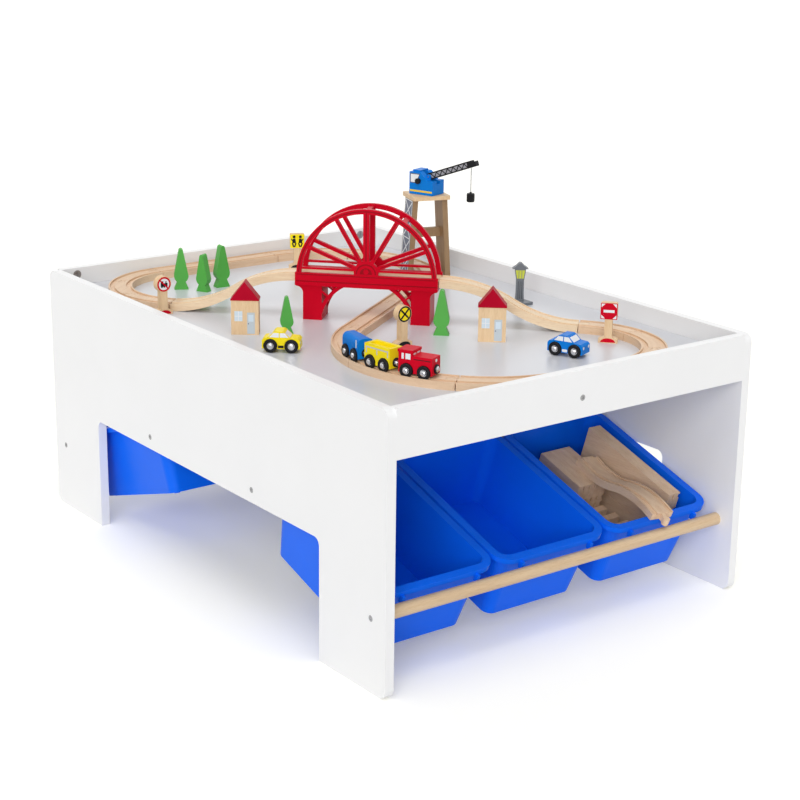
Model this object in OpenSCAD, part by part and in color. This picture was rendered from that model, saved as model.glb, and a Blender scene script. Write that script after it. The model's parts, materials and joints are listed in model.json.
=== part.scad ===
// Play table for a wooden train set: two arched side panels joined by end rails and dowels,
// a sunk play board, six tilted storage bins hung on the dowels, and the train set on the board.
// Millimetres, +Z up. The origin is the centre of the footprint on the floor. +X runs along the
// table to the end that faces the viewer, and the left panel is at -Y.

/* [Table] */
// Length over the side panels
table_l = 980; // [900:5:1100]
// Width over the side panels
table_w = 690; // [640:5:780]
// Height of the rim above the floor
table_h = 420; // [400:5:480]
// Thickness of the side panels
panel_t = 15; // [12:0.5:20]
// Thickness of the end rails
rail_t = 15; // [12:0.5:20]
// Height of the end rails
rail_h = 72; // [60:1:90]
// Depth of the play board below the rim
board_drop = 30; // [20:1:40]
// Thickness of the play board
board_t = 4; // [3:0.5:8]
// Gap round the play board
board_gap = 0.5; // [0.3:0.1:1.5]
// Width of the cleats under the play board
cleat_w = 20; // [14:1:24]
// Height of the cleats
cleat_h = 24; // [16:1:26]
// Width of each panel leg
leg_w = 160; // [120:5:200]
// Height of the arch between the legs
arch_h = 189; // [150:1:194]
// Radius of the outer panel corners
panel_r = 14; // [6:1:24]
// Radius of the upper arch corners
arch_r = 12; // [6:1:24]

/* [Dowels and fasteners] */
// Diameter of the dowels
dowel_d = 20; // [16:1:22]
// Inset of the low dowels from the panel ends
low_dowel_inset = 35; // [25:1:60]
// Height of the low dowels
low_dowel_z = 112; // [100:1:130]
// Distance of the high dowels from the middle
high_dowel_x = 152; // [130:1:170]
// Height of the high dowels
high_dowel_z = 209; // [206:1:220]
// Diameter of the screw shanks
screw_d = 5; // [4:0.5:6]
// Diameter of the screw heads
screw_head_d = 9; // [7:0.5:12]
// Thickness of the screw heads
screw_head_t = 3; // [2:0.5:4]
// Length of the screws in the dowel ends
screw_l = 45; // [30:1:60]
// Length of the screws in the end rails
rail_screw_l = 30; // [24:1:33]
// Width of the hexagon socket in a screw head
screw_key = 4; // [2.5:0.5:5]
// Clearance round screws, bolts and cams
fastener_gap = 0.2; // [0.1:0.05:0.4]
// Depth of the rail screw below the rim
rail_screw_drop = 42; // [40:1:50]
// Diameter of the cam locks in the end rails
cam_d = 15; // [12:0.5:18]
// Thickness of the cam locks
cam_t = 11; // [8:0.5:12]
// Distance of a cam from the end of its rail
cam_inset = 30; // [24:1:40]
// Distance of each cam from the near edge of its rail
cam_edge = 12; // [10:1:16]
// Diameter of the cam bolts
bolt_d = 6; // [5:0.5:8]
// Depth of a cam bolt in the side panel
bolt_depth = 10; // [6:0.5:11]

/* [Bins] */
// Gap between bin rims and beside them
bin_gap = 5; // [3:0.5:8]
// Gap between a bin rim and the dowels
bin_dowel_gap = 3; // [2:0.5:8]
// Height of the rim over the line through the dowels
bin_rise = 20; // [16:1:24]
// Depth of a bin from rim to floor
bin_depth = 120; // [90:1:130]
// Wall thickness of a bin
bin_wall = 2.5; // [2:0.1:4]
// Width of the turned-over rim
bin_rim_w = 10; // [7:0.5:14]
// Height of the turned-over rim
bin_rim_h = 8; // [6:0.5:10]
// Inward draft of a bin's walls, in degrees
bin_draft = 5.6; // [2:0.1:8]
// Corner radius of the rim
bin_rim_r = 30; // [20:1:40]
// Corner radius of the floor
bin_floor_r = 16; // [8:1:24]
// Thickness of the tabs that sit on the dowels
bin_tab_t = 5; // [3:0.5:8]
// Distance of a tab from the middle of the bin
bin_tab_y = 67; // [40:1:75]
// Clearance between a tab and its dowel
bin_tab_gap = 0.3; // [0.2:0.05:0.6]
// Diameter of the bin feet
bin_foot_d = 10; // [6:1:16]
// Height of the bin feet
bin_foot_h = 2; // [1:0.5:4]

/* [Track] */
// Width of the track
track_w = 40; // [38:0.5:42]
// Thickness of the track
track_t = 12; // [11:0.5:14]
// Distance between the middles of the two grooves
gauge = 27; // [26:0.5:28]
// Width of a groove
groove_w = 8; // [7.5:0.1:9]
// Depth of a groove
groove_depth = 3; // [2:0.25:4]
// Radius of the small curves, at the middle of the track
curve_r = 124; // [110:1:140]
// Gap between the outer track edge and the end rails
loop_end_gap = 4; // [2:1:20]
// Gap between the near loop and the right side panel
near_loop_gap = 60; // [40:1:70]
// Gap between the far loop and the left side panel
far_loop_gap = 30; // [24:1:60]
// Offset of the front loop's middle from that of the bridge line, across the table
front_loop_rise = 34; // [24:1:40]
// Offset of the back loop's middle from that of the near loop, across the table
back_loop_rise = -42; // [-51:1:-35]
// Heading of the straight that passes under the bridge
crossing_heading = 124; // [120:1:127]
// Distance of the crossing from the middle of the bridge line, towards the near loop
crossing_shift = 6; // [0:1:12]
// Distance of the bridge from the middle of its line, towards the far loop
bridge_shift = 6; // [0:1:12]
// Gap between track ends
joint_gap = 1.5; // [0.8:0.1:2]
// Diameter of a connector peg's head
peg_d = 11; // [9:0.5:12]
// Width of a connector peg's neck
peg_neck = 6; // [4:0.5:7]
// Distance from the track end to the middle of the peg's head
peg_reach = 12; // [10:0.5:14]
// Depth of a peg's faces below those of the track
peg_set = 0.4; // [0.2:0.1:1]
// Clearance between a peg and its socket
peg_gap = 0.6; // [0.4:0.1:1]

/* [Bridge] */
// Length of the bridge
bridge_l = 232; // [220:1:250]
// Width of the bridge over both sides
bridge_w = 56; // [54:1:66]
// Height of the deck that carries the track
deck_z = 62; // [58:1:70]
// Thickness of the deck plate
deck_t = 5; // [4:0.5:8]
// Height of the side beams above the deck
beam_rise = 16; // [13:1:24]
// Thickness of the side beams and their arches
truss_t = 6; // [4:0.5:7]
// Outer radius of the arches
arch_outer_r = 114; // [104:1:116]
// Thickness of the arch rims
arch_rim = 8; // [6:0.5:12]
// Width of the slanted spokes
spoke_w = 6; // [4:0.5:9]
// Width of the upright spoke
king_post_w = 10; // [7:0.5:14]
// Height of the handrail bar above the beam
rail_bar_rise = 6; // [4:0.5:12]
// Thickness of the handrail bar
rail_bar_t = 3.5; // [2.5:0.5:6]
// Radius of the hub where the spokes meet
hub_r = 20; // [16:1:26]
// Height of the hub's middle above the beam
hub_rise = 4; // [2:0.5:8]
// Width of the deck plate's edge outside the beams
deck_lip = 1; // [0.5:0.25:2]
// Width of the ties between the two arches
tie_w = 8; // [5:0.5:12]
// Width of a pier
pier_w = 31; // [24:1:36]
// Distance between the insides of the piers
pier_span = 145; // [130:1:150]
// Thickness of the curved brace strips
brace_t = 6; // [4:0.5:9]
// Depth of the braces behind the face of their pier
brace_set = 0.5; // [0.3:0.1:2]
// Radius of the cove on the outer side of a pier
cove_r = 11; // [6:0.5:11]
// Height of the lip over that cove
cove_lip = 2; // [1:0.5:4]
// Clearance between the deck track and the side beams
deck_track_gap = 2; // [1:0.5:4]

/* [Crane] */
// Place of the crane on the back loop, in degrees
crane_angle = 66; // [62:1:70]
// Heading from the left plank to the right plank
crane_heading = 72; // [66:1:76]
// Offset of the tower outward from the middle of the track
crane_offset = 1; // [0:0.5:2]
// Distance between the planks at the foot, middle to middle
tower_foot = 71; // [69:1:84]
// Distance between the planks at the top, middle to middle
tower_top = 54; // [50:1:60]
// Height of the planks
tower_h = 140; // [120:1:150]
// Thickness of the planks
plank_t = 9.5; // [8:0.5:10]
// Depth of the planks
plank_d = 42; // [38:1:56]
// Height of the stretcher's middle
stretcher_z = 78; // [66:1:90]
// Height of the stretcher
stretcher_h = 16; // [10:1:24]
// Length of the crane platform
platform_l = 68; // [66:1:76]
// Depth of the crane platform
platform_d = 63; // [58:1:66]
// Thickness of the crane platform
platform_t = 7; // [6:0.5:12]
// Diameter of the pin that the cab turns on
slew_d = 8; // [6:0.5:10]
// Height of that pin above the platform
slew_h = 12; // [8:1:14]
// Running clearance of pins in their bores
pin_gap = 0.05; // [0.03:0.01:0.08]
// Heading of the crane's boom
boom_heading = 19; // [0:1:40]
// Gap under the cab
cab_gap = 0.3; // [0.2:0.1:0.6]
// Length of the cab
cab_l = 49; // [46:1:56]
// Width of the cab
cab_w = 36; // [30:1:40]
// Height of the cab
cab_h = 42; // [40:1:46]
// Height of the cab's front hood
hood_h = 25; // [23:0.5:27]
// Length of the cab's roof
cab_roof_l = 23; // [20:0.5:26]
// Length of the sloping windscreen
windscreen_l = 14; // [10:0.5:18]
// Thickness of the raised hatch on the cab's roof
hatch_t = 3; // [2:0.5:4]
// Length of the boom from its pivot
boom_l = 100; // [80:1:110]
// Height of the boom
boom_h = 12; // [9:0.5:12]
// Width of the boom
boom_w = 10; // [8:0.5:14]
// Rise of the boom at rest, in degrees
boom_rise = 20; // [10:1:30]
// Height of the boom pivot above the cab floor
boom_pivot_z = 31.5; // [30.5:0.5:32.5]
// Distance of the boom pivot from the slew axis
boom_pivot_x = 9; // [8:0.5:12]
// Diameter of the boom pin and the winch shaft
crane_pin_d = 3; // [2:0.25:4]
// Gap beside the boom in its slot
boom_gap = 0.5; // [0.3:0.1:1]
// Height of the winch shaft above the cab floor
winch_z = 24; // [23:0.5:25]
// Distance of the winch shaft behind the slew axis
winch_back = 5; // [3:0.5:8]
// Diameter of the winch drum
drum_d = 6; // [4:0.5:7]
// Diameter of the winch knob
knob_d = 10; // [7:0.5:13]
// Thickness of the winch knob
knob_t = 5; // [3:0.5:8]
// Distance of the cord from the boom pivot, along the boom
cord_reach = 86; // [70:1:88]
// Gap between the boom and the top of the cord
cord_gap = 0.6; // [0.5:0.05:0.9]
// Free length of the hoist cord
cord_l = 42; // [30:1:60]
// Diameter of the hoist cord
cord_d = 1.2; // [0.8:0.1:1.6]
// Diameter of the hook weight
hook_d = 14; // [10:0.5:18]
// Height of the hook weight
hook_h = 17; // [12:0.5:22]

/* [Train] */
// Place of the engine on the front loop, in degrees
engine_angle = -64.5; // [-68:0.5:-60]
// Distance from one vehicle to the next, along their couplings
train_pitch = 65; // [64.5:0.25:72]
// Length of the engine's body
engine_l = 54; // [53:0.5:54.5]
// Length of a wagon's body
wagon_l = 52; // [51:0.5:54]
// Width of the vehicle bodies
body_w = 26; // [25:0.5:31]
// Height of the engine's cab above the rails
engine_cab_h = 38; // [36:0.5:46]
// Height of the engine's bonnet above the rails
engine_bonnet_h = 30; // [26:0.5:33]
// Height of the wagons above the rails
wagon_h = 34; // [30:0.5:40]
// Height of the bodies' undersides above the rails
body_clear = 4; // [2.5:0.5:5]
// Distance between the axles of a train vehicle
train_base = 28; // [24:0.5:28.5]
// Diameter of the wheels
wheel_d = 20.5; // [17:0.5:21.5]
// Thickness of the wheels
wheel_t = 5; // [4:0.25:5.5]
// Gap between a wheel and what it runs on or in
wheel_gap = 0.3; // [0.2:0.1:0.6]
// Gap between a wheel and its body
well_gap = 0.8; // [0.5:0.1:1.2]
// Diameter of the axles
axle_d = 3; // [2:0.25:4]
// Diameter of the domed axle caps
cap_d = 9; // [6:0.5:11]
// Diameter of the coupling magnets
magnet_d = 9; // [7:0.5:11]
// Diameter of the black cups behind the magnets
cup_d = 14; // [11:0.5:16]
// Thickness of those cups
cup_t = 2.5; // [1.5:0.25:4]
// Gap between two coupled magnets
magnet_gap = 1; // [0.8:0.1:2]

/* [Cars] */
// Length of a car
car_l = 58; // [56:1:68]
// Width of a car body
car_w = 27; // [26:0.5:32]
// Height of a car roof above the board
car_h = 33; // [31:0.5:40]
// Height of a car's bonnet above the board
car_bonnet_h = 23; // [22.5:0.5:25]
// Distance between the axles of a car
car_base = 32; // [26:1:32]
// Height of a car's underside above the board
car_clear = 6; // [4:0.5:8]

/* [Scenery] */
// Width of a house
house_w = 43; // [40:1:56]
// Depth of a house
house_d = 22; // [16:1:30]
// Height of a house wall
house_h = 55; // [44:1:60]
// Height of a house roof
roof_h = 30; // [26:1:44]
// Overhang of a house roof
roof_over = 1; // [0:0.5:3]
// Height of a tree
tree_h = 75; // [60:1:84]
// Width of a tree
tree_w = 26; // [20:1:32]
// Thickness of a tree
tree_t = 15; // [10:1:24]
// Radius of a tree's tip
tree_tip_r = 4; // [2:0.5:8]
// Height of the widest part of a tree
tree_belly_z = 25; // [22:0.5:26]
// Thickness of the sign boards
sign_t = 12; // [8:0.5:16]
// Height of the middle of a sign's head
sign_z = 51; // [44:1:60]
// Diameter of a round sign's head and width of a square one
sign_d = 26; // [22:1:32]
// Distance of the far sign from the track
sign_gap = 22; // [20:1:30]
// Width of a sign's post
sign_post_w = 12; // [8:0.5:16]
// Width of a sign's foot
sign_foot_w = 30; // [24:1:36]
// Height of a sign's foot
sign_foot_h = 10; // [7:0.5:14]
// Height of the lamp post
lamp_h = 70; // [60:1:84]
// Width of the lamp's roof
lamp_roof_w = 27; // [22:1:32]
// Length of the lamp's foot
lamp_foot_l = 34; // [28:1:40]
// Width of the lamp's post
lamp_post_w = 13; // [10:0.5:16]

/* [Spare track] */
// Length of a spare long straight
spare_l = 200; // [150:1:210]
// Length of a spare short straight
spare_short_l = 100; // [80:1:110]
// Length of a spare link
spare_link_l = 54; // [40:1:60]
// Gap between stacked spare pieces
spare_gap = 0.4; // [0.3:0.1:1]
// Gap between the long straights and the side of the bin
spare_side_gap = 9; // [4:1:14]
// Length of the spare ramp
spare_ramp_l = 199; // [190:1:202]
// Heading of the spare ramp in its bin
spare_ramp_turn = -8; // [-12:1:-4]

/* [Hidden] */
$fn = 64;
eps = 0.01;

wood = "burlywood";
white = "whitesmoke";
steel = "silver";
black = "#222222";
red = "#c8102e";
blue = "#1046d8";
sky = "#2f7fd6";
yellow = "#f4d313";
green = "#45ad49";

// Inside of the table
in_x = table_l / 2 - rail_t;
in_y = table_w / 2 - panel_t;
board_z = table_h - board_drop;
rail_z = table_h - rail_h;

// Line of the dowels, seen from the side
low_x = table_l / 2 - low_dowel_inset;
dowel_dx = low_x - high_dowel_x;
dowel_dz = high_dowel_z - low_dowel_z;
bin_tilt = atan2(dowel_dz, dowel_dx);
dowel_span = norm([dowel_dx, dowel_dz]);
bin_mid_x = (low_x + high_dowel_x) / 2;
bin_mid_z = (low_dowel_z + high_dowel_z) / 2;

// Bin sizes that follow from the dowels and the width of the table
bin_l = dowel_span - dowel_d - 2 * bin_dowel_gap;
bin_w = (2 * in_y - 4 * bin_gap) / 3;
bin_floor_z = bin_rise - bin_depth;
bin_taper = bin_depth * tan(bin_draft);
bin_top_l = bin_l - 2 * bin_rim_w;
bin_top_w = bin_w - 2 * bin_rim_w;
bin_top_r = bin_rim_r - bin_rim_w;

// Layout of the track: two small loops, two large loops and the bridge between them
out_x = in_x - loop_end_gap - track_w / 2;
near_c = [out_x - curve_r, in_y - near_loop_gap - track_w / 2 - curve_r];
far_c = [-out_x + curve_r, -in_y + far_loop_gap + track_w / 2 + curve_r];
line_c = (near_c + far_c) / 2;
bridge_heading = heading(far_c, near_c) + asin(2 * curve_r / norm(near_c - far_c));
bridge_line = sqrt(pow(norm(near_c - far_c), 2) - pow(2 * curve_r, 2));
line_way = [cos(bridge_heading), sin(bridge_heading)];
bridge_c = line_c - bridge_shift * line_way;
cross_c = line_c + crossing_shift * line_way;
cross_n = [sin(crossing_heading), -cos(crossing_heading)];
front_y = line_c[1] + front_loop_rise;
back_y = near_c[1] + back_loop_rise;
front_r = ((out_x - cross_c[0]) * cross_n[0] + (front_y - cross_c[1]) * cross_n[1]) / (1 + cross_n[0]);
back_r = ((out_x + cross_c[0]) * cross_n[0] - (back_y - cross_c[1]) * cross_n[1]) / (1 + cross_n[0]);
front_c = [out_x - front_r, front_y];
back_c = [-out_x + back_r, back_y];
train_step = 2 * atan(train_pitch / 2 / front_r);
small_sweep = bridge_heading + 90;
large_sweep = 270 - crossing_heading;
under_l = (front_c - back_c) * [-cos(crossing_heading), -sin(crossing_heading)];

// Length of the ramp at the near end (1) or the far end (-1), and the bends of a ramp of any length
function ramp_l(end) = (bridge_line - bridge_l) / 2 + end * bridge_shift;
function ramp_bend(l) = 2 * atan2(deck_z, l);
function ramp_r(l) = l / 2 / sin(ramp_bend(l));

// Heights above the board for what runs on the track
rail_top = track_t;
train_axle_z = track_t - groove_depth + wheel_gap + wheel_d / 2;
car_axle_z = wheel_gap + wheel_d / 2;
coupling_z = rail_top + wheel_d / 2 + 2;

// Crane places
crane_c = back_c + (back_r + crane_offset) * [cos(crane_angle), sin(crane_angle)];
platform_z = board_z + tower_h + platform_t;
cab_z = platform_z + cab_gap;
slot_w = boom_w + 2 * boom_gap;
slot_floor = winch_z - drum_d / 2 - 2;
slot_back = -winch_back - drum_d;
winch_x = -winch_back;
cord_x = boom_pivot_x + cord_reach * cos(boom_rise) + boom_h / 2 * sin(boom_rise);
cord_z = cab_z + boom_pivot_z + cord_reach * sin(boom_rise) - boom_h / 2 * cos(boom_rise) - cord_gap;

function heading(from, to) = atan2(to[1] - from[1], to[0] - from[0]);

// A rectangle with round corners, centred
module round_rect(l, w, r) {
    square([l - 2 * r, w], center = true);
    square([l, w - 2 * r], center = true);
    for (x = [-1, 1], y = [-1, 1])
        translate([x * (l / 2 - r), y * (w / 2 - r)]) circle(r);
}

// Draws in a flat place on the board, turned to a heading
module on_board(at, turn = 0, z = 0) {
    translate([at[0], at[1], board_z + z]) rotate([0, 0, turn]) children();
}

// Draws a side outline, given in length and height, as a board of a stated thickness
module board_cut(t) {
    rotate([90, 0, 0]) linear_extrude(t, center = true) children();
}

// Places that the screws share with their holes: the dowel ends in both panels
module at_dowel_ends() {
    for (end = [-1, 1], side = [-1, 1], low = [0, 1])
        translate([end * (low ? low_x : high_dowel_x), side * table_w / 2, low ? low_dowel_z : high_dowel_z])
            rotate([side * 90, 0, 0]) children();
}

module at_rail_screws() {
    for (end = [-1, 1])
        translate([end * table_l / 2, 0, table_h - rail_screw_drop]) rotate([0, -end * 90, 0]) children();
}

module at_cams() {
    for (end = [-1, 1], side = [-1, 1], low = [0, 1])
        translate([end * in_x, side * (in_y - cam_inset), low ? rail_z + cam_edge : table_h - cam_edge])
            rotate([0, end * 90, 0]) children();
}

module at_cam_bolts() {
    for (end = [-1, 1], side = [-1, 1], low = [0, 1])
        translate([
            end * (in_x + rail_t / 2),
            side * (in_y + bolt_depth),
            low ? rail_z + cam_edge : table_h - cam_edge
        ])
            rotate([side * 90, 0, 0]) children();
}

// The screw sits with its head flush, and its shank runs along +Z
module screw(l) {
    difference() {
        union() {
            cylinder(d = screw_head_d, h = screw_head_t);
            cylinder(d = screw_d, h = l);
        }
        translate([0, 0, -eps]) cylinder(d = screw_key / cos(30), h = screw_head_t / 2, $fn = 6);
    }
}

module screw_hole(l) {
    translate([0, 0, -1]) cylinder(d = screw_head_d + 2 * fastener_gap, h = screw_head_t + fastener_gap + 1);
    cylinder(d = screw_d + 2 * fastener_gap, h = l + 1);
}

bolt_l = bolt_depth + cam_inset - cam_d / 2 - 1;

module side_panel(side) {
    color(white) difference() {
        translate([0, side > 0 ? table_w / 2 : -in_y, 0]) rotate([90, 0, 0]) linear_extrude(panel_t) difference() {
            translate([0, table_h / 2]) round_rect(table_l, table_h, panel_r);
            translate([0, arch_h / 2]) round_rect(table_l - 2 * leg_w, arch_h, arch_r);
            translate([leg_w - table_l / 2, -1]) square([table_l - 2 * leg_w, arch_h / 2]);
        }
        at_dowel_ends() screw_hole(screw_l);
        at_cam_bolts() cylinder(d = bolt_d + 2 * fastener_gap, h = bolt_l + 2);
    }
}

module end_rail(end) {
    color(white) difference() {
        translate([end > 0 ? in_x : -table_l / 2, -in_y, rail_z]) cube([rail_t, 2 * in_y, rail_h]);
        at_rail_screws() screw_hole(rail_screw_l);
        at_cams() translate([0, 0, -1]) cylinder(d = cam_d + 2 * fastener_gap, h = cam_t + fastener_gap + 1);
        at_cam_bolts() cylinder(d = bolt_d + 2 * fastener_gap, h = bolt_l + 2);
    }
}

module play_board() {
    color("lightgray") translate([0, 0, board_z - board_t]) linear_extrude(board_t)
        square([2 * (in_x - board_gap), 2 * (in_y - board_gap)], center = true);
}

module board_cleats() {
    color(white) difference() {
        union() {
            for (side = [-1, 1])
                translate([-in_x, side * (in_y - cleat_w / 2) - cleat_w / 2, board_z - board_t - cleat_h])
                    cube([2 * in_x, cleat_w, cleat_h]);
            for (end = [-1, 1])
                translate([
                    end * (in_x - cleat_w / 2) - cleat_w / 2,
                    cleat_w + board_gap - in_y,
                    board_z - board_t - cleat_h
                ])
                    cube([cleat_w, 2 * (in_y - cleat_w - board_gap), cleat_h]);
        }
        at_rail_screws() screw_hole(rail_screw_l);
    }
}

module dowel_pair(x, z) {
    color(wood) difference() {
        for (end = [-1, 1])
            translate([end * x, in_y, z]) rotate([90, 0, 0]) cylinder(d = dowel_d, h = 2 * in_y);
        at_dowel_ends() screw_hole(screw_l);
    }
}

module panel_screws() {
    color(steel) {
        at_dowel_ends() screw(screw_l);
        at_rail_screws() screw(rail_screw_l);
    }
}

module cam_locks() {
    color(steel) at_cams() difference() {
        cylinder(d = cam_d, h = cam_t);
        translate([-cam_d / 3, -0.75, -1]) cube([cam_d * 2 / 3, 1.5, 3]);
        translate([-0.75, -cam_d / 3, -1]) cube([1.5, cam_d * 2 / 3, 3]);
    }
}

module cam_bolts() {
    color(steel) at_cam_bolts() cylinder(d = bolt_d, h = bolt_l);
}

// Bins: a place is an end of the table and a row across it
module at_bin(end, row) {
    translate([0, row * (bin_w + bin_gap), 0]) rotate([0, 0, end > 0 ? 0 : 180])
        translate([bin_mid_x, 0, bin_mid_z]) rotate([0, bin_tilt, 0]) children();
}

// The tapering inside or outside of a bin, pulled in by a wall thickness
module bin_form(wall, floor_z, top_z) {
    hull() {
        translate([0, 0, top_z])
            linear_extrude(eps) round_rect(bin_top_l - 2 * wall, bin_top_w - 2 * wall, bin_top_r - wall, $fn = 32);
        translate([0, 0, floor_z])
            linear_extrude(eps)
                round_rect(
                    bin_top_l - 2 * (bin_taper + wall),
                    bin_top_w - 2 * (bin_taper + wall),
                    bin_floor_r - wall,
                    $fn = 32
                );
    }
}

module storage_bin() {
    skirt_z = bin_rise - bin_rim_h;
    color(blue) {
        difference() {
            union() {
                bin_form(0, bin_floor_z, bin_rise - eps);
                translate([0, 0, bin_rise - bin_wall]) linear_extrude(bin_wall) round_rect(bin_l, bin_w, bin_rim_r);
            }
            bin_form(bin_wall, bin_floor_z + bin_wall, bin_rise + eps);
        }
        translate([0, 0, skirt_z]) linear_extrude(bin_rim_h) difference() {
            round_rect(bin_l, bin_w, bin_rim_r);
            round_rect(bin_l - 2 * bin_wall, bin_w - 2 * bin_wall, bin_rim_r - bin_wall);
        }
        bin_tabs(skirt_z);
        for (x = [-1, 1], y = [-1, 1])
            translate([
                x * (bin_top_l / 2 - bin_taper - bin_floor_r),
                y * (bin_top_w / 2 - bin_taper - bin_floor_r),
                bin_floor_z - bin_foot_h
            ])
                cylinder(d = bin_foot_d, h = bin_foot_h + eps);
    }
}

// Two tabs at each end hang from the rim and sit on the dowel
module bin_tabs(skirt_z) {
    tab_out = dowel_span / 2 - dowel_d / 4 - 2;
    tab_in = bin_l / 2 - bin_wall;
    difference() {
        for (end = [-1, 1], y = [-1, 1])
            translate([
                end > 0 ? tab_in : -tab_out,
                y * bin_tab_y - bin_tab_t / 2,
                dowel_d / 8
            ])
                cube([tab_out - tab_in, bin_tab_t, skirt_z - dowel_d / 8 + bin_wall]);
        for (end = [-1, 1])
            translate([end * dowel_span / 2, 0, 0])
                rotate([90, 0, 0]) cylinder(d = dowel_d + 2 * bin_tab_gap, h = bin_w, center = true);
    }
}

// Track. A section lies across the track with its top face up and its middle at the origin
module track_section() {
    difference() {
        translate([-track_w / 2, 0]) square([track_w, track_t]);
        for (side = [-1, 1])
            translate([side * gauge / 2 - groove_w / 2, track_t - groove_depth]) square([groove_w, groove_depth + 1]);
    }
}

// A peg that points along +X from a track end
module peg() {
    h = track_t - 2 * peg_set;
    translate([-1, -peg_neck / 2, peg_set]) cube([peg_reach + 1, peg_neck, h]);
    translate([peg_reach, 0, peg_set]) cylinder(d = peg_d, h = h);
}

// The socket that takes the peg of a piece whose end lies one joint gap behind
module socket() {
    reach = peg_reach - joint_gap;
    translate([-1, -peg_neck / 2 - peg_gap, -1]) cube([reach + 1, peg_neck + 2 * peg_gap, track_t + 2]);
    translate([reach, 0, -1]) cylinder(d = peg_d + 2 * peg_gap, h = track_t + 2);
}

// A straight that starts at the origin and runs along +X, with a socket at its start and a peg at its end
module straight(l) {
    difference() {
        translate([l, 0, 0]) rotate([90, 0, -90]) linear_extrude(l) track_section();
        socket();
    }
    translate([l, 0, 0]) peg();
}

// A curve about a centre, from one angle on by a sweep that is positive to the left
module curve(at, r, from, sweep) {
    way = sign(sweep);
    trim = joint_gap / 2 / r * 180 / PI * way;
    start = from + trim;
    stop = from + sweep - trim;
    translate([at[0], at[1], board_z]) {
        difference() {
            rotate([0, 0, min(start, stop)])
                rotate_extrude(angle = abs(stop - start), $fn = 128) translate([r, 0]) track_section();
            rotate([0, 0, start]) translate([r, 0, 0]) rotate([0, 0, way * 90]) socket();
        }
        rotate([0, 0, stop]) translate([r, 0, 0]) rotate([0, 0, way * 90]) peg();
    }
}

// A run of equal curves
module curve_run(at, r, from, sweep, count) {
    for (i = [0:count - 1]) curve(at, r, from + i * sweep / count, sweep / count);
}

module track_small_curves() {
    color(wood) {
        curve_run(near_c, curve_r, bridge_heading + 90, -small_sweep, 3);
        curve_run(far_c, curve_r, 180, small_sweep, 3);
    }
}

module track_large_curves() {
    color(wood) {
        curve_run(front_c, front_r, 0, -large_sweep, 3);
        curve_run(back_c, back_r, crossing_heading - 90, large_sweep, 3);
    }
}

// A run of equal straights from a point along a heading
module straight_run(from, turn, l, count) {
    for (i = [0:count - 1])
        on_board(from, turn) translate([i * l / count + joint_gap / 2, 0, 0]) straight(l / count - joint_gap);
}

module track_straights() {
    color(wood) {
        straight_run([out_x, near_c[1]], -90, near_c[1] - front_c[1], 1);
        straight_run([-out_x, back_c[1]], -90, back_c[1] - far_c[1], 2);
        straight_run(front_c - front_r * cross_n, crossing_heading, under_l, 2);
    }
}

// A ramp that rises along +X from the board to the deck in two bends of equal radius
module ramp(l) {
    r = ramp_r(l);
    translate([0, 0, r]) rotate([90, 0, 0]) rotate([0, 0, -90])
        rotate_extrude(angle = ramp_bend(l), $fn = 180)
            translate([r, 0]) rotate([0, 0, 90]) track_section();
    translate([l, 0, deck_z - r]) rotate([90, 0, 0]) rotate([0, 0, 90])
        rotate_extrude(angle = ramp_bend(l), $fn = 180)
            translate([r, 0]) rotate([0, 0, -90]) track_section();
}

// Each ramp has a socket at its start and a peg at its end, along the way over the bridge
module track_ramps() {
    foot = [joint_gap / 2, 0, 0];
    color(wood) for (end = [-1, 1]) {
        l = ramp_l(end);
        top = [l - joint_gap / 2, 0, deck_z];
        on_board(line_c, bridge_heading + (end > 0 ? 180 : 0)) translate([-bridge_line / 2, 0, 0]) {
            difference() {
                ramp(l);
                for (x = [0, l])
                    translate([x, 0, track_t / 2 + (x > 0 ? deck_z : 0)])
                        cube([joint_gap, track_w + 2, 2 * track_t], center = true);
                if (end > 0)
                    translate(top) rotate([0, 0, 180]) socket();
                else
                    translate(foot) socket();
            }
            if (end > 0)
                translate(foot) rotate([0, 0, 180]) peg();
            else
                translate(top) peg();
        }
    }
}

module bridge_track() {
    l = bridge_l - joint_gap;
    color(wood) on_board(bridge_c, bridge_heading, deck_z) translate([-l / 2, 0, 0]) straight(l);
}

// Bridge. Its own frame has +X along the track, +Z up from the board
beam_top = deck_z + beam_rise;
beam_bottom = deck_z - deck_t;
arch_z = beam_top - 7;

// One side of the bridge as a flat pattern: the beam, the arch rim, hub, spokes and handrail
module truss_pattern() {
    inner_r = arch_outer_r - arch_rim;
    hub_z = beam_top + hub_rise;
    translate([-bridge_l / 2, beam_bottom + deck_t - 1]) square([bridge_l, beam_rise + 1]);
    intersection() {
        translate([-bridge_l / 2, beam_bottom + deck_t]) square([bridge_l, 2 * bridge_l]);
        translate([0, arch_z]) union() {
            difference() {
                circle(arch_outer_r, $fn = 128);
                circle(inner_r, $fn = 128);
            }
            intersection() {
                circle(inner_r + arch_rim / 2, $fn = 128);
                translate([0, hub_z - arch_z]) union() {
                    circle(hub_r);
                    for (turn = [22, 60, 120, 158])
                        rotate(turn) translate([0, -spoke_w / 2]) square([arch_outer_r, spoke_w]);
                    rotate(90) translate([0, -king_post_w / 2]) square([arch_outer_r, king_post_w]);
                }
            }
            translate([-inner_r, beam_top - arch_z + rail_bar_rise]) square([2 * inner_r, rail_bar_t]);
        }
    }
}

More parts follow.
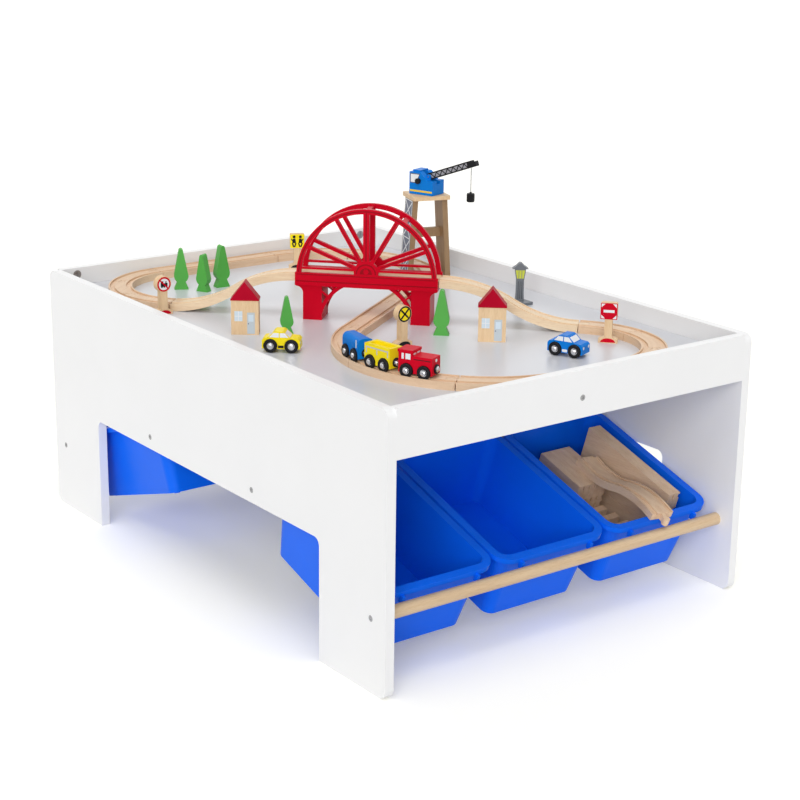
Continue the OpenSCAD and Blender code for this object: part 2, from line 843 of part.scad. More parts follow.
module bridge_span() {
    deck_w = bridge_w + 2 * deck_lip;
    tie_l = bridge_w - truss_t;
    color(red) on_board(bridge_c, bridge_heading) {
        for (side = [-1, 1])
            translate([0, side * (bridge_w - truss_t) / 2, 0]) board_cut(truss_t) truss_pattern();
        translate([-bridge_l / 2, -deck_w / 2, beam_bottom]) cube([bridge_l, deck_w, deck_t]);
        for (turn = [-32, 0, 32])
            translate([0, 0, arch_z]) rotate([0, turn, 0])
                translate([-tie_w / 2, -tie_l / 2, arch_outer_r - arch_rim + 1])
                    cube([tie_w, tie_l, arch_rim / 2]);
    }
}

// The front of a pier as a flat pattern, with its cove and its curved, pierced brace
module pier_pattern() {
    in_s = pier_span / 2;
    out_s = in_s + pier_w;
    lip_z = beam_bottom - cove_lip - cove_r;
    difference() {
        translate([in_s, 0]) square([pier_w + cove_r, beam_bottom]);
        translate([out_s, -1]) square([cove_r + 1, lip_z + 1]);
        translate([out_s + cove_r, lip_z]) circle(cove_r);
    }
}

module brace_pattern() {
    in_s = pier_span / 2;
    foot = beam_bottom / 6;
    strip_r = norm([in_s, foot + foot]);
    intersection() {
        translate([in_s / 2, foot]) square([in_s / 2 + pier_w / 4, beam_bottom - foot]);
        union() {
            translate([0, -foot]) difference() {
                circle(strip_r + brace_t, $fn = 128);
                circle(strip_r, $fn = 128);
            }
            for (turn = [38, 50, 62])
                translate([0, -foot]) rotate(turn - 12)
                    translate([strip_r, -brace_t / 4]) square([in_s / 2, brace_t / 2]);
        }
    }
}

module bridge_piers() {
    pier_d = bridge_w - truss_t;
    color(red) on_board(bridge_c, bridge_heading) for (end = [0, 1]) mirror([end, 0, 0]) {
        board_cut(pier_d) pier_pattern();
        for (side = [-1, 1])
            translate([0, side * ((pier_d - truss_t) / 2 - brace_set), 0]) board_cut(truss_t) brace_pattern();
    }
}

// Scenery. Each place is a point and a heading
tree_places = [
    [far_c + [-24, -10], 62, 0.94],
    [far_c + [12, 13], 25, 0.86],
    [far_c + [0, 56], 84, 0.97],
    [bridge_c + [2, -160], 60, 0.8],
    [front_c + [-100, -1], 48, 0.965]
];
house_places = [
    [bridge_c + [-36, -212], 52],
    [front_c + [-29, 43], 50]
];

// A tree is a board cut to a drop shape that sits in a short spread foot
module tree() {
    half = tree_w / 2;
    board_cut(tree_t) {
        hull() {
            translate([0, tree_h - tree_tip_r]) circle(tree_tip_r);
            translate([0, tree_belly_z]) circle(half);
        }
        polygon([[-half, 0], [half, 0], [half * 0.85, 5], [half * 0.55, 14], [-half * 0.55, 14], [-half * 0.85, 5]]);
    }
}

module toy_trees() {
    color(green) for (p = tree_places) on_board(p[0], p[1]) scale(p[2]) tree();
}

module house_blocks() {
    color(wood) for (p = house_places)
        on_board(p[0], p[1]) translate([-house_w / 2, -house_d / 2, 0]) cube([house_w, house_d, house_h]);
}

module house_roofs() {
    half = house_w / 2 + roof_over;
    color(red) for (p = house_places)
        on_board(p[0], p[1], house_h) board_cut(house_d + 2 * roof_over)
            polygon([[-half, 0], [half, 0], [half, 1.5], [0, roof_h], [-half, 1.5]]);
}

// Signs: a place, the heading that the face looks to, and whether the head is round
sign_places = [
    [front_c + [-83, -91], 0, true],
    [near_c + [-6, 79], -48, false],
    [far_c + (curve_r + track_w / 2 + sign_gap) * [cos(-48), sin(-48)], -2, true],
    [[-out_x + 80, back_c[1] + 2], -30, false]
];

module sign_board(is_round) {
    board_cut(sign_t) {
        intersection() {
            translate([0, sign_foot_h - sign_foot_w]) circle(sign_foot_w);
            translate([-sign_foot_w / 2, 0]) square([sign_foot_w, sign_foot_h]);
        }
        translate([-sign_post_w / 2, 0]) square([sign_post_w, sign_z]);
        translate([0, sign_z]) {
            if (is_round) circle(d = sign_d);
            else round_rect(sign_d, sign_d, 2);
        }
    }
}

module road_signs() {
    color(wood) for (p = sign_places) on_board(p[0], p[1] + 90) sign_board(p[2]);
}

lamp_c = [bridge_c[0] + 57, in_y - 78];
lamp_heading = 53;

// The lamp post is a board cut with a flared foot, a lantern and a pitched cap, set in a cross foot
module lamp_post() {
    half = lamp_post_w / 2;
    neck = lamp_h * 0.58;
    eave = lamp_h * 0.86;
    foot = 5;
    color("slategray") on_board(lamp_c, lamp_heading) {
        board_cut(lamp_post_w) {
            polygon([
                [-half - 1, 0], [half + 1, 0], [half, neck / 2], [half, neck], [half + 3, eave],
                [lamp_roof_w / 2, eave], [half, eave + 5], [2, lamp_h], [-2, lamp_h], [-half, eave + 5],
                [-lamp_roof_w / 2, eave], [-half - 3, eave], [-half, neck], [-half, neck / 2]
            ]);
        }
        rotate([0, 0, -lamp_heading]) translate([-lamp_post_w, 1 - lamp_post_w, 0])
            cube([lamp_foot_l, 2 * lamp_post_w - 2, foot]);
    }
}

// Crane tower: the two planks lean together, seen along the depth of the tower
function plank_mid(z) = (tower_foot - (tower_foot - tower_top) * z / tower_h) / 2;

module at_tower(z = 0) {
    on_board(crane_c, crane_heading, z) children();
}

module crane_legs() {
    color(wood) at_tower() for (end = [0, 1]) mirror([end, 0, 0])
        board_cut(plank_d) polygon([
            [plank_mid(0) - plank_t / 2, 0],
            [plank_mid(0) + plank_t / 2, 0],
            [plank_mid(tower_h) + plank_t / 2, tower_h],
            [plank_mid(tower_h) - plank_t / 2, tower_h]
        ]);
}

module crane_stretcher() {
    low = stretcher_z - stretcher_h / 2;
    high = stretcher_z + stretcher_h / 2;
    low_half = plank_mid(low) - plank_t / 2;
    high_half = plank_mid(high) - plank_t / 2;
    color(wood) at_tower() board_cut(plank_t)
        polygon([[-low_half, low], [low_half, low], [high_half, high], [-high_half, high]]);
}

module crane_platform() {
    color(wood) at_tower(tower_h) difference() {
        linear_extrude(platform_t) round_rect(platform_l, platform_d, 3);
        translate([0, 0, -1]) cylinder(d = slew_d + 2 * pin_gap, h = platform_t + 2);
    }
}

module slew_pin() {
    color(steel) at_tower(tower_h) cylinder(d = slew_d, h = platform_t + slew_h);
}

// The cab's own frame has +X along the boom and its floor on the slew axis
module at_cab() {
    translate([crane_c[0], crane_c[1], cab_z]) rotate([0, 0, boom_heading]) children();
}

module at_boom() {
    at_cab() translate([boom_pivot_x, 0, boom_pivot_z]) rotate([0, -boom_rise, 0]) children();
}

module across(d, l) {
    rotate([90, 0, 0]) cylinder(d = d, h = l, center = true);
}

module crane_cab() {
    back = -cab_l / 2;
    front = cab_l / 2;
    brow = back + cab_roof_l;
    roof_z = cab_h - hatch_t;
    ear_d = crane_pin_d + 5;
    ear_t = 4;
    color(sky) at_cab() difference() {
        union() {
            board_cut(cab_w) polygon([
                [back, 0], [front, 0], [front, hood_h], [brow + windscreen_l, hood_h], [brow, roof_z], [back, roof_z]
            ]);
            translate([back + 4, 5 - cab_w / 2, roof_z - 1]) cube([cab_roof_l - 8, cab_w - 10, hatch_t + 1]);
            for (side = [-1, 1])
                translate([boom_pivot_x, side * (slot_w + ear_t) / 2, 0]) {
                    translate([0, 0, boom_pivot_z]) across(ear_d, ear_t);
                    translate([-ear_d / 2, -ear_t / 2, hood_h - 1])
                        cube([ear_d, ear_t, boom_pivot_z - hood_h + 1]);
                }
        }
        translate([slot_back, -slot_w / 2, slot_floor])
            cube([front - slot_back + 1, slot_w, roof_z - 4 - slot_floor]);
        translate([brow - 4, -slot_w / 2, slot_floor]) cube([cab_l, slot_w, cab_h]);
        translate([boom_pivot_x, 0, boom_pivot_z]) across(crane_pin_d + 2 * pin_gap, cab_w + 2);
        translate([winch_x, 0, winch_z]) rotate([90, 0, 0])
            cylinder(d = crane_pin_d + 2 * pin_gap, h = cab_w);
        translate([winch_x, slot_w / 2 - 1, winch_z]) rotate([-90, 0, 0])
            cylinder(d = crane_pin_d + 2 * pin_gap, h = 5);
        translate([0, 0, -1]) cylinder(d = slew_d + 2 * pin_gap, h = slew_h + 2);
    }
}

module boom_pin() {
    color(steel) at_cab() translate([boom_pivot_x, 0, boom_pivot_z]) across(crane_pin_d, slot_w + 8);
}

module crane_boom() {
    color(black) at_boom() difference() {
        union() {
            translate([0, -boom_w / 2, -boom_h / 2]) cube([boom_l, boom_w, boom_h]);
            across(boom_h, boom_w);
        }
        across(crane_pin_d + 2 * pin_gap, boom_w + 2);
        translate([cord_reach + 6, -boom_w, boom_h / 4]) cube([boom_l, 2 * boom_w, boom_h]);
    }
}

// Knob, shaft and drum of the winch turn as one piece
module winch_knob() {
    wall = cab_w / 2;
    color(black) at_cab() translate([winch_x, 0, winch_z]) rotate([90, 0, 0]) {
        translate([0, 0, -slot_w / 2 - 3]) cylinder(d = crane_pin_d, h = wall + slot_w / 2 + 4);
        translate([0, 0, -boom_w / 2]) cylinder(d = drum_d, h = boom_w);
        translate([0, 0, wall + 0.3]) difference() {
            cylinder(d = knob_d, h = knob_t);
            for (turn = [0:30:330])
                rotate([0, 0, turn]) translate([knob_d / 2 + 0.4, 0, -1]) cylinder(d = 1.6, h = knob_t + 2);
        }
    }
}

// The hoist cord hangs straight from the boom to the hook weight
cord_top = [cord_x, 0, cord_z - cab_z];
cord_route = [cord_top, cord_top - [0, 0, cord_l / 2], cord_top - [0, 0, cord_l]];

// A closed tube with flat ends round a route that runs straight down
module hanging_tube(route, d, sides) {
    rings = len(route);
    points = [for (p = route, i = [0:sides - 1]) p + d / 2 * [cos(i * 360 / sides), sin(i * 360 / sides), 0]];
    walls = [for (r = [0:rings - 2], i = [0:sides - 1]) let (
        a = r * sides + i,
        b = r * sides + (i + 1) % sides
    ) each [[a, b, b + sides], [a, b + sides, a + sides]]];
    top = [[for (i = [sides - 1:-1:0]) i]];
    bottom = [[for (i = [0:sides - 1]) (rings - 1) * sides + i]];
    polyhedron(concat(points), concat(walls, top, bottom));
}

module crane_cord() {
    color(black) at_cab() hanging_tube(cord_route, cord_d, 8);
}

module hook_weight() {
    color(black) at_cab() translate(cord_top - [0, 0, cord_l]) rotate_extrude() polygon([
        [0, 0], [2, 0], [2, -2], [hook_d / 2 - 1, -2], [hook_d / 2, -3],
        [hook_d / 2, -hook_h + 1], [hook_d / 2 - 1, -hook_h], [0, -hook_h]
    ]);
}

// Train and cars. A vehicle's own frame has +X forward and +Z up from the board
module on_front_loop(turn) {
    on_board(front_c, turn) translate([front_r, 0, 0]) rotate([0, 0, 90]) children();
}

// Room for the wheels and axles of a vehicle
module wheel_room(base, axle_z, body) {
    inner = gauge / 2 - wheel_t / 2 - well_gap;
    for (end = [-1, 1]) translate([end * base / 2, 0, axle_z]) {
        across(axle_d + 2 * pin_gap, body + 2);
        for (side = [-1, 1])
            translate([0, side * (inner + body / 2), 0]) across(wheel_d + 2 * well_gap, body);
    }
}

// Two wheels on an axle with domed caps, along Y at the origin
module wheelset() {
    outer = gauge / 2 + wheel_t / 2;
    across(axle_d, 2 * outer);
    for (side = [-1, 1]) rotate([side * 90, 0, 0]) rotate_extrude() polygon([
        [0, outer - wheel_t],
        [wheel_d / 2 - 0.8, outer - wheel_t], [wheel_d / 2, outer - wheel_t + 0.8],
        [wheel_d / 2, outer - 0.8], [wheel_d / 2 - 0.8, outer],
        [cap_d / 2 + 1, outer], [cap_d / 2 + 1, outer - 1], [cap_d / 2, outer - 1],
        [cap_d / 2 - 0.5, outer + 1], [cap_d / 4, outer + 1.8], [0, outer + 2]
    ]);
}

module train_axle(turn, end) {
    color(black) on_front_loop(turn) translate([end * train_base / 2, 0, train_axle_z]) wheelset();
}

// Domed magnets at both ends of a train vehicle, up to the middle between two vehicles
magnet_reach = (train_pitch - magnet_gap) / 2;

module magnets(turn, l) {
    color(steel) on_front_loop(turn) for (end = [-1, 1]) rotate([0, 0, end > 0 ? 0 : 180])
        translate([l / 2, 0, coupling_z]) rotate([0, 90, 0]) rotate_extrude() polygon([
            [0, 0], [cup_d / 2, 0], [cup_d / 2, cup_t - 0.5], [cup_d / 2 - 0.5, cup_t], [magnet_d / 2, cup_t],
            [magnet_d / 2, magnet_reach - l / 2 - 2], [magnet_d / 3, magnet_reach - l / 2 - 0.6],
            [0, magnet_reach - l / 2]
        ]);
}

module train_body(turn) {
    on_front_loop(turn) difference() {
        children();
        wheel_room(train_base, train_axle_z, body_w);
    }
}

module engine_body() {
    half = engine_l / 2;
    low = rail_top + body_clear;
    cab_front = -half + engine_l * 0.42;
    color(red) train_body(engine_angle) {
        board_cut(body_w) polygon([
            [-half, low], [half, low], [half, rail_top + engine_bonnet_h], [cab_front, rail_top + engine_bonnet_h],
            [cab_front, rail_top + engine_cab_h - 4], [-half, rail_top + engine_cab_h - 4]
        ]);
        translate([-half - 1, -body_w / 2 - 1, rail_top + engine_cab_h - 4])
            cube([cab_front + half + 2, body_w + 2, 4]);
    }
}

module yellow_wagon_body() {
    half = wagon_l / 2;
    low = rail_top + body_clear;
    color(yellow) train_body(engine_angle - train_step) difference() {
        translate([-half, -body_w / 2, low]) cube([wagon_l, body_w, rail_top + wagon_h - low]);
        translate([-half + 5, -body_w / 2 + 5, rail_top + wagon_h - 5]) cube([wagon_l - 10, body_w - 10, 6]);
    }
}

module blue_wagon_body() {
    low = rail_top + body_clear;
    top = rail_top + wagon_h;
    round_r = body_w / 3;
    color(sky) train_body(engine_angle - 2 * train_step)
        translate([-wagon_l / 2, 0, 0]) rotate([90, 0, 90]) linear_extrude(wagon_l) {
            translate([-body_w / 2, low]) square([body_w, top - low - round_r]);
            translate([round_r - body_w / 2, low]) square([body_w - 2 * round_r, top - low]);
            for (side = [-1, 1]) translate([side * (body_w / 2 - round_r), top - round_r]) circle(round_r);
        }
}

car_gap_to_track = 74;
blue_car_place = [front_c + [101, 86], 23];
yellow_car_place = [front_c + (front_r + track_w / 2 + car_gap_to_track) * [cos(-122), sin(-122)], 48];

// Side outline of a saloon car between bumpers
module car_outline() {
    half = car_l / 2;
    polygon([
        [-half, car_clear], [half, car_clear], [half, car_bonnet_h - 4], [half - 3, car_bonnet_h - 1],
        [half * 0.5, car_bonnet_h], [half * 0.2, car_h - 2], [half * 0.1, car_h], [-half * 0.32, car_h],
        [-half * 0.42, car_h - 2], [-half * 0.72, car_bonnet_h], [-half + 2, car_bonnet_h - 1],
        [-half, car_bonnet_h - 4]
    ]);
}

module car_body(place) {
    on_board(place[0], place[1]) difference() {
        board_cut(car_w) car_outline();
        wheel_room(car_base, car_axle_z, car_w);
    }
}

module car_axle(place, end) {
    color(black) on_board(place[0], place[1]) translate([end * car_base / 2, 0, car_axle_z]) wheelset();
}

// Spare track lies in the right near bin: straights on edge in stacks and a ramp that leans on the rim
spare_floor = bin_floor_z + bin_wall + spare_gap;
spare_step = track_t + spare_gap;
spare_rise = track_w + spare_gap;
spare_long_y = bin_top_w / 2 - bin_taper - bin_wall - spare_side_gap - 2 * spare_step;
spare_short_y = spare_long_y - track_w / 2 - 5 * spare_step;
spare_end = bin_top_l / 2 - bin_taper - bin_wall - bin_floor_r;

// A stack of straights on edge that starts at the origin and runs along +X
module spare_stack(l, wide, high) {
    for (i = [0:wide - 1], row = [0:high - 1])
        translate([0, i * spare_step, row * spare_rise + track_w / 2])
            rotate([90, 0, 90]) linear_extrude(l) rotate(-90) track_section();
}

// The spare ramp's fall from level, so that it rests on the short stack and on the rim
spare_ramp_low = spare_floor + 2 * spare_rise;
spare_ramp_high = bin_rise + spare_gap;
function spare_fall(low) =
    atan2(deck_z, spare_ramp_l) - asin((spare_ramp_high - low) / norm([spare_ramp_l, deck_z]));
spare_ramp_sag = ramp_r(spare_ramp_l) * (1 - cos(spare_fall(spare_ramp_low)));
spare_ramp_tilt = spare_fall(spare_ramp_low + spare_ramp_sag);

module spare_track() {
    color(wood) at_bin(1, 1) {
        translate([spare_end - spare_l, spare_long_y, spare_floor]) spare_stack(spare_l, 2, 3);
        translate([-spare_end, spare_short_y, spare_floor]) spare_stack(spare_short_l, 5, 2);
        for (i = [0, 1, 2])
            translate([-spare_end + spare_short_l + track_t + i * 2 * track_t, spare_short_y + 6 * i, spare_floor])
                rotate([0, 0, 90]) translate([0, -track_t, 0]) spare_stack(spare_link_l, 1, 1);
        translate([bin_l / 2, spare_short_y + spare_link_l / 2, spare_ramp_high])
            rotate([0, 0, spare_ramp_turn]) rotate([0, spare_ramp_tilt, 0]) translate([-spare_ramp_l, 0, -deck_z]) {
                ramp(spare_ramp_l);
                translate([spare_ramp_l, 0, deck_z]) peg();
            }
    }
}

side_panel(-1);  // side_panel_left
side_panel(1);  // side_panel_right
end_rail(1);  // end_rail_near
end_rail(-1);  // end_rail_far
play_board();
board_cleats();
dowel_pair(low_x, low_dowel_z);  // low_dowels
dowel_pair(high_dowel_x, high_dowel_z);  // high_dowels
panel_screws();
cam_locks();
cam_bolts();
at_bin(1, -1) storage_bin();  // bin_near_left
at_bin(1, 0) storage_bin();  // bin_near_middle
at_bin(1, 1) storage_bin();  // bin_near_right
at_bin(-1, -1) storage_bin();  // bin_far_left
at_bin(-1, 0) storage_bin();  // bin_far_middle
at_bin(-1, 1) storage_bin();  // bin_far_right
spare_track();
track_small_curves();
track_large_curves();
track_straights();
track_ramps();
bridge_track();
bridge_span();
bridge_piers();
toy_trees();
house_blocks();
house_roofs();
road_signs();
lamp_post();
crane_legs();
crane_stretcher();
crane_platform();
slew_pin();
crane_cab();
boom_pin();
crane_boom();
winch_knob();
crane_cord();
hook_weight();
engine_body();
magnets(engine_angle, engine_l);  // engine_magnets
train_axle(engine_angle, 1);  // engine_axle_front
train_axle(engine_angle, -1);  // engine_axle_rear
yellow_wagon_body();
magnets(engine_angle - train_step, wagon_l);  // yellow_wagon_magnets
train_axle(engine_angle - train_step, 1);  // yellow_axle_front
train_axle(engine_angle - train_step, -1);  // yellow_axle_rear
blue_wagon_body();
magnets(engine_angle - 2 * train_step, wagon_l);  // blue_wagon_magnets
train_axle(engine_angle - 2 * train_step, 1);  // blue_axle_front
train_axle(engine_angle - 2 * train_step, -1);  // blue_axle_rear
color(sky) car_body(blue_car_place);  // blue_car_body
car_axle(blue_car_place, 1);  // blue_car_axle_front
car_axle(blue_car_place, -1);  // blue_car_axle_rear
color(yellow) car_body(yellow_car_place);  // yellow_car_body
car_axle(yellow_car_place, 1);  // yellow_car_axle_front
car_axle(yellow_car_place, -1);  // yellow_car_axle_rear
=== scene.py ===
# Looks of the train table: materials for the CAD nodes, printed faces on the toys, light and camera.
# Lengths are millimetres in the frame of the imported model, except where a comment says metres.
import json
import math

import bpy
from mathutils import Matrix, Vector

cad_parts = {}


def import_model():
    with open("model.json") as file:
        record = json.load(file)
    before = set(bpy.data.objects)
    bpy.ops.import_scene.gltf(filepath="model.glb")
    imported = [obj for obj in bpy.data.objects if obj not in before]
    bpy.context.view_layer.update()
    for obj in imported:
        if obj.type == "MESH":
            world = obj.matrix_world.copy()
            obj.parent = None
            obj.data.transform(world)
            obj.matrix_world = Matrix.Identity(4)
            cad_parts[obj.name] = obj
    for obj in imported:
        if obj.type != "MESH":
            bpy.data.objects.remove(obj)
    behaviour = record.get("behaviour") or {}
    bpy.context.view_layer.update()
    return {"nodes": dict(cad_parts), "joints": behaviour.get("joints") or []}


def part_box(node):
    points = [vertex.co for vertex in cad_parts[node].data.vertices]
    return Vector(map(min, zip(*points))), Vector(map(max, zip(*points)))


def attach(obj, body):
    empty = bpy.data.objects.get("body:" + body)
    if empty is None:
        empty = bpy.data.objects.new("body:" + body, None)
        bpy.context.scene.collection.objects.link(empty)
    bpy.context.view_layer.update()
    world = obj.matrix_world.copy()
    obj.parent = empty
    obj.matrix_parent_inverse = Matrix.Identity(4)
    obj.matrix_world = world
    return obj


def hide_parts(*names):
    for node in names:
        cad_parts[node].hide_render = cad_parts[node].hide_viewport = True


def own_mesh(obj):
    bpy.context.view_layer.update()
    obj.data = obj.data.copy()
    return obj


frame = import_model()
NODES = frame["nodes"]
JOINTS = {joint["name"]: joint for joint in frame["joints"]}
MM = 1000  # millimetres in a metre
UP = Vector((0, 0, 1))
SIDES = (("left", 1), ("right", -1))


def direction(degrees):
    """A level unit vector at a heading."""
    angle = math.radians(degrees)
    return Vector((math.cos(angle), math.sin(angle), 0))


# Places and headings of the scenery, as in the part's source
BOARD_Z = 390
FRONT_C = Vector(JOINTS["engine_travel"]["pos_m"]) * MM
CRANE_C = Vector(JOINTS["crane_slew"]["pos_m"]) * MM
BACK_C = Vector((-273.61, 84, BOARD_Z))
NEAR_C = Vector((327, 126, BOARD_Z))
FAR_C = Vector((-327, -156, BOARD_Z))
BRIDGE_C = Vector((-4.34, -19.15, BOARD_Z))
LAMP_C = Vector((52.66, 252, BOARD_Z))
BRIDGE_HEADING = 43.7
CROSSING_HEADING = 124
CRANE_HEADING = 72
BOOM_HEADING = 19
LAMP_HEADING = 53
CROSSING_SIGN = (FRONT_C + Vector((-83, -91, 0)), 0)
HALT_SIGN = (NEAR_C + Vector((-6, 79, 0)), -48)
NO_TRAIN_SIGN = (FAR_C + direction(-48) * 166, -2)
CHILDREN_SIGN = (Vector((-371, 86, BOARD_Z)), -30)
HOUSES = ((1, BRIDGE_C + Vector((-36, -212, 0)), 52), (2, FRONT_C + Vector((-29, 43, 0)), 50))


# Materials. Their noise scales and bump depths are in metres
class Shader:
    """A principled material whose nodes are added one by one."""

    def __init__(self, name):
        self.material = bpy.data.materials.new(name)
        self.material.use_nodes = True
        self.tree = self.material.node_tree
        self.bsdf = self.tree.nodes["Principled BSDF"]

    def add(self, kind, inputs=None, **settings):
        node = self.tree.nodes.new(kind)
        for key, value in settings.items():
            setattr(node, key, value)
        for key, value in (inputs or {}).items():
            if isinstance(value, bpy.types.NodeSocket):
                self.tree.links.new(value, node.inputs[key])
            else:
                node.inputs[key].default_value = value
        return node

    def math(self, operation, *values):
        return self.add("ShaderNodeMath", dict(enumerate(values)), operation=operation).outputs[0]

    def vector(self, operation, *values):
        node = self.add("ShaderNodeVectorMath", dict(enumerate(values)), operation=operation)
        return node.outputs["Value" if operation == "LENGTH" else "Vector"]

    def place(self):
        return self.add("ShaderNodeTexCoord").outputs["Object"]

    def axes(self, coords):
        return self.add("ShaderNodeSeparateXYZ", {"Vector": coords}).outputs

    def join(self, x, y, z):
        return self.add("ShaderNodeCombineXYZ", {"X": x, "Y": y, "Z": z}).outputs[0]

    def noise(self, coords, scale, detail=2.0, roughness=0.5):
        inputs = {"Vector": coords, "Scale": scale, "Detail": detail, "Roughness": roughness}
        return self.add("ShaderNodeTexNoise", inputs).outputs["Fac"]

    def spread(self, value, low, high):
        """A value from 0 to 1 carried over to a range."""
        inputs = {"Value": value, "To Min": low, "To Max": high}
        return self.add("ShaderNodeMapRange", inputs).outputs[0]

    def ramp(self, value, stops):
        node = self.add("ShaderNodeValToRGB", {"Fac": value})
        elements = node.color_ramp.elements
        while len(elements) < len(stops):
            elements.new(0.5)
        for element, (position, colour) in zip(elements, stops):
            element.position = position
            element.color = (*colour, 1)
        return node.outputs["Color"]

    def mix(self, factor, first, second, blend="MIX"):
        node = self.add("ShaderNodeMix", data_type="RGBA", blend_type=blend)
        for index, value in ((0, factor), (6, first), (7, second)):
            if isinstance(value, bpy.types.NodeSocket):
                self.tree.links.new(value, node.inputs[index])
            elif index:
                node.inputs[index].default_value = (*value, 1)
            else:
                node.inputs[index].default_value = value
        return node.outputs[2]

    def bump(self, height, strength, distance):
        inputs = {"Height": height, "Strength": strength, "Distance": distance}
        node = self.add("ShaderNodeBump", inputs)
        self.tree.links.new(node.outputs["Normal"], self.bsdf.inputs["Normal"])

    def set(self, **values):
        for key, value in values.items():
            socket = self.bsdf.inputs[key.replace("_", " ")]
            if isinstance(value, bpy.types.NodeSocket):
                self.tree.links.new(value, socket)
            else:
                socket.default_value = (*value, 1) if isinstance(value, tuple) else value
        return self.material


def shade(colour, factor):
    return tuple(min(1.0, channel * factor) for channel in colour)


def paint(name, colour, rough=0.4, depth=0.06, grain=900, shine=0.5):
    """Sprayed or moulded colour: faint cloudy tone, uneven gloss and a fine skin."""
    s = Shader(name)
    where = s.place()
    cloud = s.noise(where, scale=9, detail=3)
    skin = s.noise(where, scale=grain, detail=1)
    tone = s.ramp(cloud, [(0.25, shade(colour, 1 - depth)), (0.75, shade(colour, 1 + depth))])
    gloss = s.spread(cloud, rough * 0.85, rough * 1.2)
    s.bump(skin, strength=0.12, distance=0.00008)
    return s.set(Base_Color=tone, Roughness=gloss, Specular_IOR_Level=shine)


def metal(name, colour, rough=0.3):
    """Plated metal with fine streaks in its tone and gloss."""
    s = Shader(name)
    streak = s.noise(s.place(), scale=420)
    tone = s.ramp(streak, [(0.3, shade(colour, 0.85)), (0.7, shade(colour, 1.1))])
    gloss = s.spread(streak, rough * 0.7, rough * 1.4)
    s.bump(streak, strength=0.1, distance=0.00005)
    return s.set(Base_Color=tone, Roughness=gloss, Metallic=1.0)


def turned(s, coords, degrees):
    """Coordinates whose first axis lies at a heading."""
    inputs = {"Vector": coords, "Angle": -math.radians(degrees)}
    return s.add("ShaderNodeVectorRotate", inputs, rotation_type="Z_AXIS").outputs[0]


def along(degrees):
    """Grain that runs level at a heading."""
    return lambda s, coords: turned(s, coords, degrees)


def upright(s, coords):
    """Grain that runs up: coordinates whose first axis is the height."""
    x, y, z = s.axes(coords)
    return s.join(z, x, y)


LOOP_R = 0.17  # metres: a middling radius, which turns an angle into a length of grain
TABLE_END_X = 0.3  # metres: the straights beyond this lie at the ends of the table


def round_a_loop(s, coords, right, left):
    """Grain along the curve of a loop, with one centre for each half of the table."""
    x, _, z = s.axes(coords)
    side = s.math("GREATER_THAN", x, 0.0)
    centre = s.mix(side, tuple(left / MM), tuple(right / MM))
    offset = s.vector("SUBTRACT", coords, centre)
    flat_x, flat_y, _ = s.axes(offset)
    turn = s.math("ARCTAN2", flat_y, flat_x)
    radius = s.vector("LENGTH", s.vector("MULTIPLY", offset, (1, 1, 0)))
    return s.join(s.math("MULTIPLY", turn, LOOP_R), radius, z)


def small_loop_grain(s, coords):
    return round_a_loop(s, coords, NEAR_C, FAR_C)


def large_loop_grain(s, coords):
    return round_a_loop(s, coords, FRONT_C, BACK_C)


def straight_grain(s, coords):
    """The straight under the bridge lies at its own heading, the others along the table's width."""
    is_end = s.math("GREATER_THAN", s.math("ABSOLUTE", s.axes(coords)[0]), TABLE_END_X)
    return s.mix(is_end, turned(s, coords, CROSSING_HEADING), turned(s, coords, 90))


BAND_SCALE = (7, 120, 120)
FLECK_SCALE = (90, 1500, 1500)


def wood(name, light, dark, grain, rough=0.5, coat=0.0):
    """Clear wood: long soft bands, short dark flecks and a fine bump along the grain."""
    s = Shader(name)
    where = grain(s, s.place())
    bands = s.noise(s.vector("MULTIPLY", where, BAND_SCALE), scale=1, detail=4, roughness=0.6)
    flecks = s.noise(s.vector("MULTIPLY", where, FLECK_SCALE), scale=1)
    middle = tuple((a + b) / 2 for a, b in zip(light, dark))
    tone = s.ramp(bands, [(0.28, dark), (0.5, middle), (0.72, light)])
    mark = s.ramp(flecks, [(0.34, (0.72, 0.62, 0.52)), (0.46, (1, 1, 1))])
    gloss = s.spread(flecks, rough * 0.9, rough * 1.2)
    s.bump(flecks, strength=0.15, distance=0.0001)
    colour = s.mix(0.35, tone, mark, "MULTIPLY")
    return s.set(Base_Color=colour, Roughness=gloss, Coat_Weight=coat, Coat_Roughness=0.2)


def turned_piece(name, centre, axis, radius, inner, outer):
    """Two tones on a turned piece: metal within a radius of its axis, and a paint outside it."""
    s = Shader(name)
    offset = s.vector("SUBTRACT", s.place(), tuple(centre))
    away = s.vector("LENGTH", s.vector("CROSS_PRODUCT", offset, tuple(axis)))
    is_outer = s.math("GREATER_THAN", away, radius / MM)
    cloud = s.noise(s.place(), scale=260)
    first = s.ramp(cloud, [(0.3, shade(inner, 0.85)), (0.7, shade(inner, 1.1))])
    second = s.ramp(cloud, [(0.3, shade(outer, 0.8)), (0.7, shade(outer, 1.2))])
    s.bump(cloud, strength=0.1, distance=0.00006)
    return s.set(
        Base_Color=s.mix(is_outer, first, second),
        Metallic=s.math("SUBTRACT", 1.0, is_outer),
        Roughness=s.spread(is_outer, 0.24, 0.42),
        Specular_IOR_Level=0.15,
    )


def laminate(name, dark, light):
    """Semi-gloss laminate with a fine speckle."""
    s = Shader(name)
    where = s.place()
    cloud = s.noise(where, scale=5, detail=3)
    speckle = s.noise(where, scale=1400, detail=1)
    tone = s.ramp(cloud, [(0.3, dark), (0.7, light)])
    dots = s.ramp(speckle, [(0.35, (0.9, 0.9, 0.9)), (0.6, (1, 1, 1))])
    s.bump(speckle, strength=0.06, distance=0.00006)
    colour = s.mix(0.5, tone, dots, "MULTIPLY")
    return s.set(Base_Color=colour, Roughness=s.spread(cloud, 0.26, 0.36), Specular_IOR_Level=0.5)


